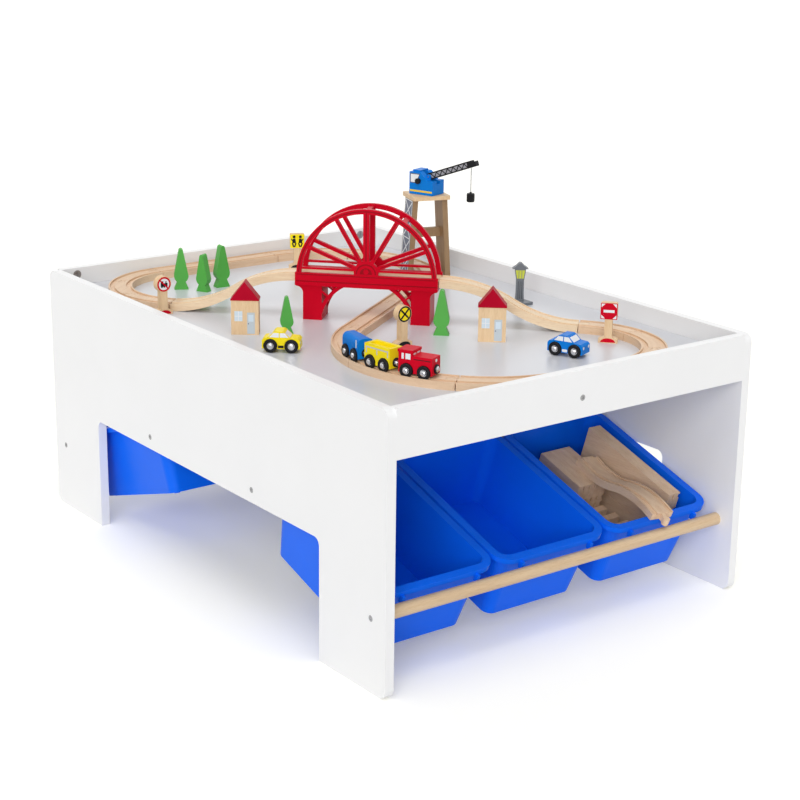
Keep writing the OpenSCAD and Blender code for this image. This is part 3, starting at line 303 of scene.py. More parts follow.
# Woods have a light and a dark tone
BEECH = ((0.80, 0.60, 0.42), (0.68, 0.46, 0.29))
PALE_BEECH = ((0.84, 0.68, 0.48), (0.76, 0.56, 0.36))
BIRCH = ((0.80, 0.60, 0.37), (0.70, 0.47, 0.26))
LEG = ((0.37, 0.24, 0.125), (0.28, 0.175, 0.085))
DOWEL = ((0.69, 0.52, 0.33), (0.58, 0.40, 0.23))
BOARD_GREY = ((0.61, 0.62, 0.655), (0.655, 0.665, 0.70))
WHITE = (0.83, 0.83, 0.832)
RED = (0.60, 0.002, 0.018)
BRIDGE_RED = (0.56, 0.002, 0.017)
# Deep red for painted shade: the dark strips that stand in for the bridge's grooves, ridges and hub recess
GROOVE_SHADE_RED = (0.30, 0.001, 0.008)
CRIMSON = (0.42, 0.002, 0.020)
BLUE = (0.003, 0.14, 0.90)
SKY = (0.004, 0.19, 0.66)
YELLOW = (0.92, 0.74, 0.010)
GREEN = (0.070, 0.37, 0.050)
BLACK = (0.012, 0.012, 0.014)
GREY = (0.14, 0.155, 0.175)
ZINC = (0.40, 0.40, 0.41)
SILVER = (0.72, 0.72, 0.74)
PRINT_ROUGH = 0.4

MATERIALS = {
    "white": paint("white_lacquer", WHITE, rough=0.34, depth=0.012, grain=700),
    "board": laminate("grey_laminate", *BOARD_GREY),
    "dowel": wood("birch_dowel", *DOWEL, along(90), rough=0.42, coat=0.2),
    "small_curve": wood("beech_small_curve", *BEECH, small_loop_grain),
    "large_curve": wood("beech_large_curve", *BEECH, large_loop_grain),
    "straight": wood("beech_straight", *BEECH, straight_grain),
    "ramp": wood("beech_ramp", *PALE_BEECH, along(BRIDGE_HEADING)),
    "spare": wood("beech_spare", *BEECH, along(0)),
    "house": wood("birch_house", *BIRCH, upright),
    "plank": wood("birch_plank", *BIRCH, along(0)),
    "leg": wood("brown_leg", *LEG, upright),
    "bin": paint("blue_polypropylene", BLUE, rough=0.3, depth=0.05, grain=500, shine=0.12),
    "bridge": paint("red_plastic", BRIDGE_RED, rough=0.3, depth=0.06, grain=600, shine=0.05),
    "tree": paint("green_paint", GREEN, rough=0.5, depth=0.12, grain=500),
    "red": paint("red_paint", RED, rough=0.36, depth=0.07, shine=0.07),
    "roof": paint("crimson_paint", CRIMSON, rough=0.4, depth=0.08, shine=0.05),
    "sky": paint("blue_paint", SKY, rough=0.36, depth=0.07, shine=0.07),
    "yellow": paint("yellow_paint", YELLOW, rough=0.36, depth=0.05, shine=0.15),
    "grey": paint("grey_paint", GREY, rough=0.45, depth=0.1),
    "black": paint("black_paint", BLACK, rough=0.4, depth=0.2, shine=0.15),
    "steel": metal("zinc_plate", ZINC),
    "pale": paint("pale_print", (0.80, 0.82, 0.84), PRINT_ROUGH, depth=0.02),
    "window": paint("pale_blue_print", (0.60, 0.70, 0.78), PRINT_ROUGH, depth=0.05),
    "door": paint("door_print", (0.50, 0.56, 0.60), PRINT_ROUGH, depth=0.05),
    "lantern": paint("lantern_print", (0.55, 0.60, 0.05), PRINT_ROUGH, depth=0.1),
    "steel_print": paint("grey_print", (0.10, 0.115, 0.175), PRINT_ROUGH, depth=0.08),
    # Painted shade for the grooves, ridges and hub recess of the bridge's moulding
    "groove": paint("deep_red_groove", GROOVE_SHADE_RED, PRINT_ROUGH, depth=0.08, shine=0.1),
    "light_grey": paint("light_grey_print", (0.52, 0.52, 0.55), PRINT_ROUGH, depth=0.05),
    "boom_grey": paint("boom_print", (0.30, 0.30, 0.33), PRINT_ROUGH, depth=0.05),
    "orange": paint("stripe_print", (0.80, 0.55, 0.03), PRINT_ROUGH, depth=0.05),
}
DRESS = {
    "white": ["side_panel_left", "side_panel_right", "end_rail_near", "end_rail_far", "board_cleats"],
    "board": ["play_board"],
    "dowel": ["low_dowels", "high_dowels"],
    "small_curve": ["track_small_curves"],
    "large_curve": ["track_large_curves"],
    "straight": ["track_straights"],
    "ramp": ["track_ramps", "bridge_track"],
    "spare": ["spare_track"],
    "house": ["house_blocks", "road_signs"],
    "plank": ["crane_platform"],
    "leg": ["crane_legs", "crane_stretcher"],
    "bin": [name for name in NODES if name.startswith("bin_")],
    "bridge": ["bridge_span", "bridge_piers"],
    "tree": ["toy_trees"],
    "red": ["engine_body"],
    "roof": ["house_roofs"],
    "sky": ["crane_cab", "blue_wagon_body", "blue_car_body"],
    "yellow": ["yellow_wagon_body", "yellow_car_body"],
    "grey": ["lamp_post"],
    "black": ["crane_boom", "hook_weight", "winch_knob"],
    "steel": ["panel_screws", "cam_locks", "cam_bolts", "slew_pin", "boom_pin"],
}
# Widths of the softened edges
EDGES = {
    "white": 1.2,
    "red": 0.8,
    "roof": 0.8,
    "sky": 0.8,
    "yellow": 0.8,
    "tree": 0.8,
    "house": 0.6,
    "plank": 0.8,
    "leg": 0.8,
    "grey": 0.6,
}
EDGE_SEGMENTS = 2
EDGE_ANGLE = 40  # degrees: sharper folds than this are softened
CAP_R = 5.2  # radius of the silver cap on a wheel
MAGNET_R = 4.7  # radius of the bright face of a coupling magnet


def dress(node, material, edge=0.0):
    """Gives a CAD node its material, and soft edges where it has a width for them."""
    obj = NODES[node]
    obj.data.materials.clear()
    obj.data.materials.append(material)
    if edge:
        soft = obj.modifiers.new("soft_edge", "BEVEL")
        soft.width = edge / MM
        soft.segments = EDGE_SEGMENTS
        soft.limit_method = "ANGLE"
        soft.angle_limit = math.radians(EDGE_ANGLE)


for key, names in DRESS.items():
    for name in names:
        dress(name, MATERIALS[key], EDGES.get(key, 0.0))
for name in [n for n in NODES if "axle" in n]:
    spin = JOINTS[name + "_spin"]
    dress(name, turned_piece(name + "_look", spin["pos_m"], spin["axis"], CAP_R, SILVER, BLACK))


# Printed faces are thin plates that stand on a face
PLATE_FOOT = 0.02  # gap between a face and the back of a plate


def facing(origin, normal, up=UP):
    """A frame with +Z out of a face, +Y up along it and its origin on it."""
    z = normal.normalized()
    y = (up - z * up.dot(z)).normalized()
    x = y.cross(z)
    matrix = Matrix((x, y, z)).transposed().to_4x4()
    matrix.translation = origin / MM
    return matrix


def plate(name, body, at, outlines, material, lift=0.25):
    """One or more flat outlines raised a little from a face."""
    points, faces = [], []
    for outline in outlines:
        edges = zip(outline, outline[1:] + outline[:1])
        area = sum(a[0] * b[1] - b[0] * a[1] for a, b in edges)
        ring = outline if area > 0 else outline[::-1]
        first, count = len(points), len(ring)
        points += [(x / MM, y / MM, PLATE_FOOT / MM) for x, y in ring]
        points += [(x / MM, y / MM, lift / MM) for x, y in ring]
        faces.append([first + count + i for i in range(count)])
        faces.append([first + i for i in reversed(range(count))])
        for i in range(count):
            j = (i + 1) % count
            faces.append([first + i, first + j, first + count + j, first + count + i])
    mesh = bpy.data.meshes.new(name)
    mesh.from_pydata(points, [], faces)
    mesh.materials.append(MATERIALS[material])
    obj = bpy.data.objects.new(name, mesh)
    bpy.context.scene.collection.objects.link(obj)
    mesh.transform(at)
    mesh.update()
    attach(obj, body)


def disc(radius, x=0.0, y=0.0, count=40):
    turns = [i * math.tau / count for i in range(count)]
    return [(x + radius * math.cos(t), y + radius * math.sin(t)) for t in turns]


def bar(length, width, degrees=0.0, x=0.0, y=0.0):
    """A rectangle turned about its middle."""
    c, s = math.cos(math.radians(degrees)), math.sin(math.radians(degrees))
    corners = []
    for i, j in ((-1, -1), (1, -1), (1, 1), (-1, 1)):
        across = x + i * length / 2 * c - j * width / 2 * s
        up = y + i * length / 2 * s + j * width / 2 * c
        corners.append((across, up))
    return corners


def strip(outer, inner, x, y, turns):
    """The outline between two radii, over a list of angles in radians."""
    out = [(x + outer * math.cos(t), y + outer * math.sin(t)) for t in turns]
    return out + [(x + inner * math.cos(t), y + inner * math.sin(t)) for t in reversed(turns)]


def arc_band(outer, inner, x=0.0, y=0.0, count=40):
    """A ring as two half bands, so that each is one plain outline."""
    halves = []
    for start in (0, math.pi):
        halves.append(strip(outer, inner, x, y, [start + math.pi * i / count for i in range(count + 1)]))
    return halves


def arc(outer, inner, x, y, start, stop, count=30):
    """A curved strip between two headings."""
    turns = [math.radians(start + (stop - start) * i / count) for i in range(count + 1)]
    return strip(outer, inner, x, y, turns)


# Bridge: dark red strips on the outer faces of its two trusses, painted shade that stands in for the
# grooves, ridges and hub recess of the moulding, with heights above the board
BRIDGE_HALF_W = 28
ARCH_Z, HUB_Z, BEAM_Z = 71, 82, 62
RIM_OUT, RIM_IN = 111.2, 109
RIM_STARTS, RIM_SWEEP, RIM_STEPS = (4, 47, 90, 133), 43, 20
BEAM_LINES = ((226, 1.3, 13.2), (229, 1.6, 2.2))  # length, width, height above the beam's foot
POST_LINE_W, POST_LINE_H, POST_LINE_RISE = 2.2, 78, 58
SPOKE_TURNS = (22, 60, 120, 158)
SPOKE_LINE_L, SPOKE_LINE_W, SPOKE_MIDDLE = 70, 1.5, 60
HUB_RINGS, HUB_DROP = ((16.5, 14.5), (10, 0.5)), 2
BOSS_R, BOSS_RISE = 4.2, 2
GROOVE_SHADE_LIFT, BOSS_LIFT = 0.2, 0.6


def bridge_grooves():
    shade_strips = []
    for start in RIM_STARTS:
        shade_strips.append(arc(RIM_OUT, RIM_IN, 0, ARCH_Z, start, start + RIM_SWEEP, RIM_STEPS))
    for length, width, rise in BEAM_LINES:
        shade_strips.append(bar(length, width, 0, 0, BEAM_Z + rise))
    shade_strips.append(bar(POST_LINE_W, POST_LINE_H, 0, 0, HUB_Z + POST_LINE_RISE))
    for turn in SPOKE_TURNS:
        c, s = math.cos(math.radians(turn)), math.sin(math.radians(turn))
        shade_strips.append(bar(SPOKE_LINE_L, SPOKE_LINE_W, turn, SPOKE_MIDDLE * c, HUB_Z + SPOKE_MIDDLE * s))
    hub_shade = [arc(outer, inner, 0, HUB_Z - HUB_DROP, 0, 180) for outer, inner in HUB_RINGS]
    boss = [disc(BOSS_R, 0, HUB_Z + BOSS_RISE, 28)]
    for name, way in (("front", -90), ("back", 90)):
        normal = direction(BRIDGE_HEADING + way)
        at = facing(BRIDGE_C + normal * BRIDGE_HALF_W, normal)
        # The dark red strips and hub rings are painted shade of the moulding; the boss is a raised disc of
        # the plain red
        plate("bridge_grooves_%s" % name, "table", at, shade_strips, "groove", GROOVE_SHADE_LIFT)
        plate("bridge_hub_shade_%s" % name, "table", at, hub_shade, "groove", GROOVE_SHADE_LIFT)
        plate("bridge_boss_%s" % name, "table", at, boss, "bridge", BOSS_LIFT)


# Road signs: a picture about the middle of the board, and a half moon on the foot
SIGN_Z, SIGN_T = 51, 12
MOON_HALF_W, MOON_H, MOON_Z, MOON_STEPS = 11.5, 6.5, 1.2, 24


def sign_frame(place, heading):
    return facing(place + direction(heading) * SIGN_T / 2, direction(heading))


def foot_print(name, at, material):
    """The printed half moon on the foot of a sign."""
    turns = [math.pi * i / MOON_STEPS for i in range(MOON_STEPS + 1)]
    moon = [(MOON_HALF_W * math.cos(t), MOON_Z + MOON_H * math.sin(t)) for t in turns]
    plate(name, "table", at, [moon], material)


def crossing_sign():
    at = sign_frame(*CROSSING_SIGN)
    rim_r, face_r, bar_l, bar_w = 12.4, 9.9, 19.4, 2.9
    bars = [bar(bar_l, bar_w, turn, 0, SIGN_Z) for turn in (45, 135)]
    plate("crossing_rim", "table", at, [disc(rim_r, 0, SIGN_Z)], "black", lift=0.2)
    plate("crossing_face", "table", at, [disc(face_r, 0, SIGN_Z)], "yellow", lift=0.3)
    plate("crossing_bars", "table", at, bars, "black", lift=0.4)
    foot_print("crossing_foot", at, "black")


def halt_sign():
    at = sign_frame(*HALT_SIGN)
    border_w, ground_w, flat_r, bar_l, bar_w = 26, 23.4, 12.4, 17, 4.2
    corner_r = flat_r / math.cos(math.pi / 8)
    turns = [(i + 0.5) * math.pi / 4 for i in range(8)]
    eight = [(corner_r * math.cos(t), SIGN_Z + corner_r * math.sin(t)) for t in turns]
    plate("halt_border", "table", at, [bar(border_w, border_w, 0, 0, SIGN_Z)], "red", lift=0.2)
    plate("halt_ground", "table", at, [bar(ground_w, ground_w, 0, 0, SIGN_Z)], "pale", lift=0.28)
    plate("halt_face", "table", at, [eight], "red", lift=0.36)
    plate("halt_bar", "table", at, [bar(bar_l, bar_w, 0, 0, SIGN_Z)], "pale", lift=0.44)
    foot_print("halt_foot", at, "red")


def no_train_sign():
    at = sign_frame(*NO_TRAIN_SIGN)
    ground_r, ring_out, ring_in, slash_l, slash_w = 11.6, 12, 9.4, 19.4, 2.2
    wheel_r, wheel_z = 1.9, SIGN_Z - 3.6
    # Boiler, cab and chimney: length, height and the place of the middle
    blocks = ((12, 4.6, 0.4, -0.6), (4.6, 8.2, -3.6, 1.2), (2, 3.4, 3.6, 3))
    train = [bar(length, height, 0, x, SIGN_Z + z) for length, height, x, z in blocks]
    train += [disc(wheel_r, x, wheel_z, 20) for x in (-3.8, 0.4, 4.4)]
    plate("no_train_ground", "table", at, [disc(ground_r, 0, SIGN_Z)], "pale", lift=0.2)
    plate("no_train_figure", "table", at, train, "black", lift=0.3)
    plate("no_train_ring", "table", at, arc_band(ring_out, ring_in, 0, SIGN_Z), "red", lift=0.4)
    plate("no_train_slash", "table", at, [bar(slash_l, slash_w, -45, 0, SIGN_Z)], "red", lift=0.46)
    foot_print("no_train_foot", at, "red")


def children_sign():
    at = sign_frame(*CHILDREN_SIGN)
    face_w, head_r, head_z = 25, 2.7, SIGN_Z + 8
    neck_z, hem_z, neck_half, hem_half = SIGN_Z + 4.8, SIGN_Z - 3.6, 2.2, 3.6
    arm_l, arm_w, arm_turn, arm_reach, arm_z = 6.5, 1.8, -58, 3.4, SIGN_Z + 1.6
    leg_l, leg_w, leg_z = 8, 2.4, SIGN_Z - 7
    figures = []
    for x, way in ((-5.6, 1), (5.6, -1)):
        coat = [(x - neck_half, neck_z), (x + neck_half, neck_z)]
        coat += [(x + hem_half, hem_z), (x - hem_half, hem_z)]
        figures.append(disc(head_r, x, head_z, 24))
        figures.append(coat)
        figures.append(bar(arm_l, arm_w, arm_turn * way, x - arm_reach * way, arm_z))
        for turn, step in ((70, 2), (110, -2)):
            figures.append(bar(leg_l, leg_w, turn, x + step, leg_z))
    plate("children_face", "table", at, [bar(face_w, face_w, 0, 0, SIGN_Z)], "yellow", lift=0.2)
    plate("children_figures", "table", at, figures, "black", lift=0.3)
    foot_print("children_foot", at, "black")


# Houses
HOUSE_HALF_T = 11


def house_prints():
    window_w, window_h, window_x, window_z, sash = 12.5, 16, -10, 30, 1
    door_w, door_h, door_x, door_z = 12, 34, 9.5, 19
    panel_w, panel_h, panel_z = 8, 11, 27
    latch_r, latch_x, latch_z = 0.9, 5.6, 18
    window = [bar(window_w, window_h, 0, window_x, window_z)]
    sashes = [bar(w, h, 0, window_x, window_z) for w, h in ((window_w, sash), (sash, window_h))]
    door = [bar(door_w, door_h, 0, door_x, door_z)]
    panel = [bar(panel_w, panel_h, 0, door_x, panel_z)]
    latch = [disc(latch_r, latch_x, latch_z, 16)]
    for number, place, heading in HOUSES:
        normal = direction(heading - 90)
        at = facing(place + normal * HOUSE_HALF_T, normal)
        plate("house_%d_window" % number, "table", at, window, "window")
        plate("house_%d_window_bars" % number, "table", at, sashes, "pale", lift=0.35)
        plate("house_%d_door" % number, "table", at, door, "door")
        plate("house_%d_door_panel" % number, "table", at, panel, "window", lift=0.35)
        plate("house_%d_latch" % number, "table", at, latch, "steel_print", lift=0.4)


# Engine, wagons and cars
TRAIN_HALF_W, TRAIN_HALF_L = 13, 27
CAR_HALF_W, CAR_HALF_L = 13.5, 29
ENGINE_CAB_SHARE = 0.42  # how far along the engine its cab reaches


class Vehicle:
    """Centre and heading of a vehicle, from its two axles."""

    def __init__(self, axles, body, half_width):
        front = Vector(JOINTS[axles + "_axle_front_spin"]["pos_m"]) * MM
        rear = Vector(JOINTS[axles + "_axle_rear_spin"]["pos_m"]) * MM
        self.body = body
        self.half_width = half_width
        self.ahead = (front - rear).normalized()
        self.left = UP.cross(self.ahead)
        middle = (front + rear) / 2
        self.base = Vector((middle.x, middle.y, BOARD_Z))

    def side(self, way):
        """The flat frame of a side face: way is 1 on the left and -1 on the right."""
        return facing(self.base + self.left * way * self.half_width, self.left * way)

    def end(self, reach):
        """The flat frame of a face across the vehicle, at a distance ahead of its middle."""
        return facing(self.base + self.ahead * reach, self.ahead * math.copysign(1, reach))


def engine_prints(v):
    pane_h, pane_z = 8.5, 40.5
    line_l, line_w, line_x, line_z = 27, 1, 11, 37.4
    screen_w, screen_h, screen_z = 8, 2.6, 44
    lamp_r, lamp_z = 2.4, 37
    for name, way in SIDES:
        at = v.side(way)
        panes = [bar(width, pane_h, 0, way * x, pane_z) for width, x in ((8, 11.5), (3.6, 20))]
        plate("engine_window_%s" % name, v.body, at, panes, "pale")
        line = [bar(line_l, line_w, 0, -way * line_x, line_z)]
        plate("engine_line_%s" % name, v.body, at, line, "black", lift=0.2)
    cab_front = -TRAIN_HALF_L + 2 * TRAIN_HALF_L * ENGINE_CAB_SHARE
    at = facing(v.base + v.ahead * cab_front, v.ahead)
    screens = [bar(screen_w, screen_h, 0, x, screen_z) for x in (-6, 6)]
    plate("engine_front_windows", v.body, at, screens, "pale")
    plate("engine_lamp", v.body, v.end(TRAIN_HALF_L), [disc(lamp_r, 0, lamp_z, 28)], "pale", lift=0.5)


def yellow_wagon_prints(v):
    band_l, band_w, band_z, post_h, post_z = 46, 2, 41, 8, 36.2
    band = [bar(band_l, band_w, 0, 0, band_z)]
    posts = [bar(band_w, post_h, 0, x, post_z) for x in (-22, 0, 22)]
    for name, way in SIDES:
        at = v.side(way)
        plate("yellow_wagon_band_%s" % name, v.body, at, band, "light_grey")
        plate("yellow_wagon_posts_%s" % name, v.body, at, posts, "light_grey", lift=0.32)


def blue_wagon_prints(v):
    stripe_w, stripe_h, stripe_x, stripe_z = 2.6, 12, 20, 38
    for name, way in SIDES:
        stripe = [bar(stripe_w, stripe_h, 0, -way * stripe_x, stripe_z)]
        plate("blue_wagon_stripe_%s" % name, v.body, v.side(way), stripe, "pale")


def car_prints(v, band):
    side_windows = [
        [(-17.6, 24), (-3, 24), (-3, 31), (-11, 31)],
        [(-1.4, 24), (11.8, 24), (6, 31), (-1.4, 31)],
    ]
    # Foot and head of each sloping window, as shares of the half length
    screens = (("windscreen", 0.5, 0.2), ("rear_window", -0.72, -0.42))
    screen_low, screen_high, screen_w, screen_margin = 23, 31, 22, 2
    sill_l, sill_h, sill_z = 8.4, 4, 9.5
    lamp_r, lamp_x, lamp_z, tail_w, tail_h = 2.2, 9, 16, 4.5, 2.6
    for name, way in SIDES:
        at = v.side(way)
        outlines = [[(-way * x, z) for x, z in outline] for outline in side_windows]
        plate("%s_side_windows_%s" % (v.body, name), v.body, at, outlines, "pale")
        plate("%s_sill_%s" % (v.body, name), v.body, at, [bar(sill_l, sill_h, 0, 0, sill_z)], band)
    for name, foot_share, head_share in screens:
        foot = v.base + v.ahead * (CAR_HALF_L * foot_share) + UP * screen_low
        head = v.base + v.ahead * (CAR_HALF_L * head_share) + UP * screen_high
        slope = (head - foot).normalized()
        out = v.left.cross(slope)
        at = facing(foot, out if out.z > 0 else -out, slope)
        reach = (head - foot).length
        pane = [bar(screen_w, reach - screen_margin, 0, 0, reach / 2)]
        plate("%s_%s" % (v.body, name), v.body, at, pane, "pale")
    lamps = [disc(lamp_r, x, lamp_z, 24) for x in (-lamp_x, lamp_x)]
    tails = [bar(tail_w, tail_h, 0, x, lamp_z) for x in (-lamp_x, lamp_x)]
    plate("%s_lamps" % v.body, v.body, v.end(CAR_HALF_L), lamps, "pale", lift=0.4)
    plate("%s_tail_lamps" % v.body, v.body, v.end(-CAR_HALF_L), tails, "red", lift=0.4)


# Crane
CAB_AHEAD = direction(BOOM_HEADING)
CAB_LEFT = UP.cross(CAB_AHEAD)
CAB_HALF_W = 18
BOOM_PIVOT = CRANE_C + CAB_AHEAD * 9 + UP * 31.5
BOOM_RISE = 20
BOOM_HALF_W = 5
PLANK_FOOT, PLANK_LEAN, PLANK_H = 40.25, 8.5, 140


def crane_prints():
    window = [(-21.5, 21), (-10.5, 21), (-4, 35), (-21.5, 35)]
    frame_line = [(-23, 19.6), (-9.4, 19.6), (-2, 36.6), (-23, 36.6)]
    stripe = [bar(46, 3.2, 0, 0, 6)]
    for name, way in SIDES:
        at = facing(CRANE_C + CAB_LEFT * way * CAB_HALF_W, CAB_LEFT * way)
        border, pane = ([(-way * x, z) for x, z in outline] for outline in (frame_line, window))
        plate("cab_frame_%s" % name, "crane_turret", at, [border], "steel_print", lift=0.2)
        plate("cab_window_%s" % name, "crane_turret", at, [pane], "pale", lift=0.3)
        plate("cab_stripe_%s" % name, "crane_turret", at, stripe, "orange", lift=0.2)
    rise = math.radians(BOOM_RISE)
    along_boom = CAB_AHEAD * math.cos(rise) + UP * math.sin(rise)
    over_boom = CAB_LEFT.cross(along_boom) * -1
    panel_l, panel_w, panel_x = 78, 7.2, 43
    lace_l, lace_w, lace_turn, lace_start, lace_pitch, lace_count = 9.4, 1.9, 52, 7.6, 6, 13
    for name, way in SIDES:
        at = facing(BOOM_PIVOT + CAB_LEFT * way * BOOM_HALF_W, CAB_LEFT * way, over_boom)
        panel = [bar(panel_l, panel_w, 0, -way * panel_x, 0)]
        laces = []
        for i in range(lace_count):
            turn = lace_turn if i % 2 else -lace_turn
            laces.append(bar(lace_l, lace_w, turn, -way * (lace_start + i * lace_pitch), 0))
        plate("boom_panel_%s" % name, "boom", at, panel, "boom_grey", lift=0.2)
        plate("boom_lattice_%s" % name, "boom", at, laces, "black", lift=0.3)


def plank_print():
    """The lattice printed on the outer face of the left plank, which leans."""
    across = direction(CRANE_HEADING)
    foot = CRANE_C - across * PLANK_FOOT
    foot.z = BOARD_Z
    slope = (across * PLANK_LEAN + UP * PLANK_H).normalized()
    at = facing(foot, -across + UP * (PLANK_LEAN / PLANK_H), slope)
    middle_z = PLANK_H / 2
    ground_w, ground_h = 39, 136
    edge_w, edge_h, edge_x = 1.6, 134, 17.5
    brace_l, brace_w, brace_turn, rung_l, rung_w = 45, 2.2, 41, 35, 1.8
    first_z, pitch, count = 20, 33.5, 4
    lines = [bar(edge_w, edge_h, 0, x, middle_z) for x in (-edge_x, edge_x)]
    for i in range(count):
        z = first_z + i * pitch
        lines += [bar(brace_l, brace_w, turn, 0, z) for turn in (brace_turn, -brace_turn)]
        lines.append(bar(rung_l, rung_w, 0, 0, z + pitch / 2))
    plate("plank_ground", "table", at, [bar(ground_w, ground_h, 0, 0, middle_z)], "steel_print", lift=0.2)
    plate("plank_lattice", "table", at, lines, "pale", lift=0.3)


# Lamp post
LAMP_HALF_T = 6.5


def lamp_print():
    glass = [(-5.4, 44), (5.4, 44), (7.8, 58), (-7.8, 58)]
    glazing = [bar(0.9, 13, 0, x, 51) for x in (-2.4, 2.4)]
    flutes = [bar(0.7, 30, 0, x, 24) for x in (-3, 0, 3)]
    normal = direction(LAMP_HEADING - 90)
    for name, way in (("front", 1), ("back", -1)):
        at = facing(LAMP_C + normal * way * LAMP_HALF_T, normal * way)
        plate("lantern_%s" % name, "table", at, [glass], "lantern")
        plate("lantern_bars_%s" % name, "table", at, glazing, "grey", lift=0.35)
        plate("post_lines_%s" % name, "table", at, flutes, "black", lift=0.2)


# Hoist cord, in metres
CORD_R = 0.0006
CORD_RINGS, CORD_SIDES = 41, 12
CORD_STRANDS, CORD_TWIST, CORD_SWELL = 3, 0.9, 0.12  # twist is in radians from ring to ring


def hoist_cord():
    """The cord as a twisted tube in place of its plain solid."""
    low, high = (Vector(corner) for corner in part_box("crane_cord"))
    middle = (low + high) / 2
    heights = [high.z + (low.z - high.z) * k / (CORD_RINGS - 1) for k in range(CORD_RINGS)]
    points, faces = [], []
    for k, z in enumerate(heights):
        for i in range(CORD_SIDES):
            turn = i * math.tau / CORD_SIDES
            swell = CORD_R * (1 - CORD_SWELL + CORD_SWELL * math.cos(CORD_STRANDS * turn + k * CORD_TWIST))
            points.append((middle.x + swell * math.cos(turn), middle.y + swell * math.sin(turn), z))
    for k in range(CORD_RINGS - 1):
        upper, lower = k * CORD_SIDES, (k + 1) * CORD_SIDES
        for i in range(CORD_SIDES):
            j = (i + 1) % CORD_SIDES
            faces.append([upper + i, lower + i, lower + j, upper + j])
    faces.append(list(range(CORD_SIDES)))
    faces.append([(CORD_RINGS - 1) * CORD_SIDES + i for i in reversed(range(CORD_SIDES))])
    mesh = bpy.data.meshes.new("hoist_cord")
    mesh.from_pydata(points, [], faces)
    mesh.materials.append(MATERIALS["black"])
    obj = bpy.data.objects.new("hoist_cord", mesh)
    bpy.context.scene.collection.objects.link(obj)
    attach(obj, "hoist_cord")
    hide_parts("crane_cord")
    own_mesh(obj)


ENGINE = Vehicle("engine", "engine", TRAIN_HALF_W)
YELLOW_WAGON = Vehicle("yellow", "yellow_wagon", TRAIN_HALF_W)
BLUE_WAGON = Vehicle("blue", "blue_wagon", TRAIN_HALF_W)
BLUE_CAR = Vehicle("blue_car", "blue_car", CAR_HALF_W)
YELLOW_CAR = Vehicle("yellow_car", "yellow_car", CAR_HALF_W)
for v, node in ((ENGINE, "engine"), (YELLOW_WAGON, "yellow_wagon"), (BLUE_WAGON, "blue_wagon")):
    low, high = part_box(node + "_magnets")
    middle = (v.base / MM).to_tuple()[:2] + ((low.z + high.z) / 2,)
    look = turned_piece(node + "_magnet_look", middle, v.ahead, MAGNET_R, SILVER, BLACK)
    dress(node + "_magnets", look)

hoist_cord()
bridge_grooves()
crossing_sign()
halt_sign()
no_train_sign()
children_sign()
house_prints()
engine_prints(ENGINE)
yellow_wagon_prints(YELLOW_WAGON)
blue_wagon_prints(BLUE_WAGON)
car_prints(BLUE_CAR, "pale")
car_prints(YELLOW_CAR, "black")
crane_prints()
plank_print()
lamp_print()


# Floor, light and camera, in metres
FLOOR_HALF, FLOOR_Z = 30, -0.0002
FLOOR_TONES = ((0.91, 0.908, 0.90), (0.93, 0.928, 0.92))
GLOW_COLOUR, GLOW_STRENGTH = (1, 0.985, 0.80, 1), 0.22
SKY_LIT, SKY_SEEN = 0.38, 1.0  # strength of the white sky as a lamp, and as it looks
AIM = Vector((0, 0, 0.35))
SEEN_RAYS = ("Is Glossy Ray", "Is Transmission Ray")
PICTURE_PX, SENSOR_MM, CLIP_END = 800, 36, 200


def stage():
    """A pale floor whose glow lifts it to white where it is looked at."""
    s = Shader("pale_floor")
    grain = s.noise(s.place(), scale=60)
    tone = s.ramp(grain, list(zip((0.3, 0.7), FLOOR_TONES)))
    s.set(Base_Color=tone, Roughness=0.7)
    rays = s.add("ShaderNodeLightPath").outputs
    seen = rays["Is Camera Ray"]
    for ray in SEEN_RAYS:
        seen = s.math("MAXIMUM", seen, rays[ray])
    strength = s.math("MULTIPLY", seen, GLOW_STRENGTH)
    glow = s.add("ShaderNodeEmission", {"Color": GLOW_COLOUR, "Strength": strength})
    total = s.add("ShaderNodeAddShader", {0: s.bsdf.outputs[0], 1: glow.outputs[0]})
    s.tree.links.new(total.outputs[0], s.tree.nodes["Material Output"].inputs["Surface"])
    mesh = bpy.data.meshes.new("floor")
    corners = [(x * FLOOR_HALF, y * FLOOR_HALF, 0) for x, y in ((-1, -1), (1, -1), (1, 1), (-1, 1))]
    mesh.from_pydata(corners, [], [[0, 1, 2, 3]])
    mesh.materials.append(s.material)
    floor = bpy.data.objects.new("floor", mesh)
    floor.location.z = FLOOR_Z
    bpy.context.scene.collection.objects.link(floor)


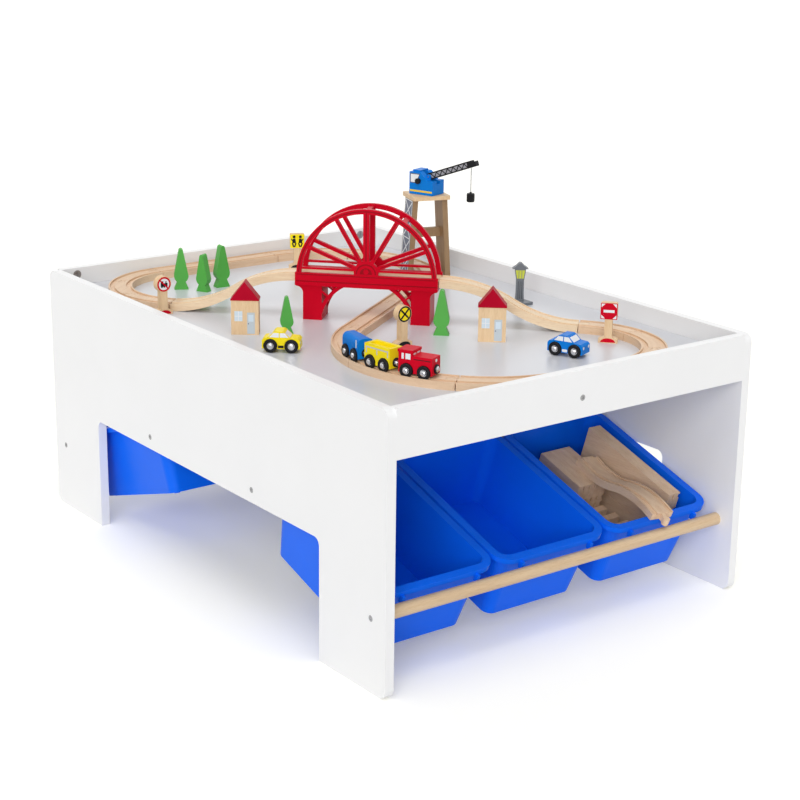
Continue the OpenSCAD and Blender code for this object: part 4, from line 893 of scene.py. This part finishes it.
def world():
    """A white sky that lights the table less than it shows."""
    w = bpy.data.worlds.new("studio")
    w.use_nodes = True
    bpy.context.scene.world = w
    tree = w.node_tree
    rays = tree.nodes.new("ShaderNodeLightPath")
    seen = rays.outputs["Is Camera Ray"]
    for ray in SEEN_RAYS:
        either = tree.nodes.new("ShaderNodeMath")
        either.operation = "MAXIMUM"
        tree.links.new(seen, either.inputs[0])
        tree.links.new(rays.outputs[ray], either.inputs[1])
        seen = either.outputs[0]
    strength = tree.nodes.new("ShaderNodeMapRange")
    strength.inputs["To Min"].default_value = SKY_LIT
    strength.inputs["To Max"].default_value = SKY_SEEN
    tree.links.new(seen, strength.inputs["Value"])
    background = tree.nodes["Background"]
    background.inputs["Color"].default_value = (1, 1, 1, 1)
    tree.links.new(strength.outputs[0], background.inputs["Strength"])


def sun(name, place, angle, strength):
    """A broad soft lamp, far away, that shines from a place towards the table."""
    light = bpy.data.lights.new(name, "SUN")
    light.angle = math.radians(angle)
    light.energy = strength
    obj = bpy.data.objects.new(name, light)
    obj.location = place
    obj.rotation_mode = "QUATERNION"
    obj.rotation_quaternion = (AIM - Vector(place)).to_track_quat("-Z", "Y")
    bpy.context.scene.collection.objects.link(obj)


def camera(azimuth, elevation, roll, focal_px, place):
    """A lens with a focal length in pixels of the picture, at a place in millimetres."""
    data = bpy.data.cameras.new("camera")
    data.sensor_width = SENSOR_MM
    data.lens = SENSOR_MM * focal_px / PICTURE_PX
    data.clip_end = CLIP_END
    obj = bpy.data.objects.new("camera", data)
    a, e, r = (math.radians(x) for x in (azimuth, elevation, roll))
    back = Vector((math.sin(a) * math.cos(e), -math.cos(a) * math.cos(e), math.sin(e)))
    right = Vector((math.cos(a), math.sin(a), 0))
    up = back.cross(right)
    tilted_right = right * math.cos(r) + up * math.sin(r)
    tilted_up = up * math.cos(r) - right * math.sin(r)
    matrix = Matrix((tilted_right, tilted_up, back)).transposed().to_4x4()
    matrix.translation = Vector(place) / MM
    obj.matrix_world = matrix
    bpy.context.scene.collection.objects.link(obj)
    bpy.context.scene.camera = obj


stage()
world()
sun("key", (2.1, -2.1, 1.5), angle=35, strength=1.55)
sun("top", (0.5, -0.5, 3.2), angle=40, strength=1.1)
sun("fill", (-2.2, 1.9, 2.0), angle=60, strength=0.4)
camera(azimuth=53.029, elevation=17.115, roll=0.75, focal_px=1830.8, place=(2324.7, -1706.7, 1138.4))
bpy.context.scene.view_settings.view_transform = "Standard"
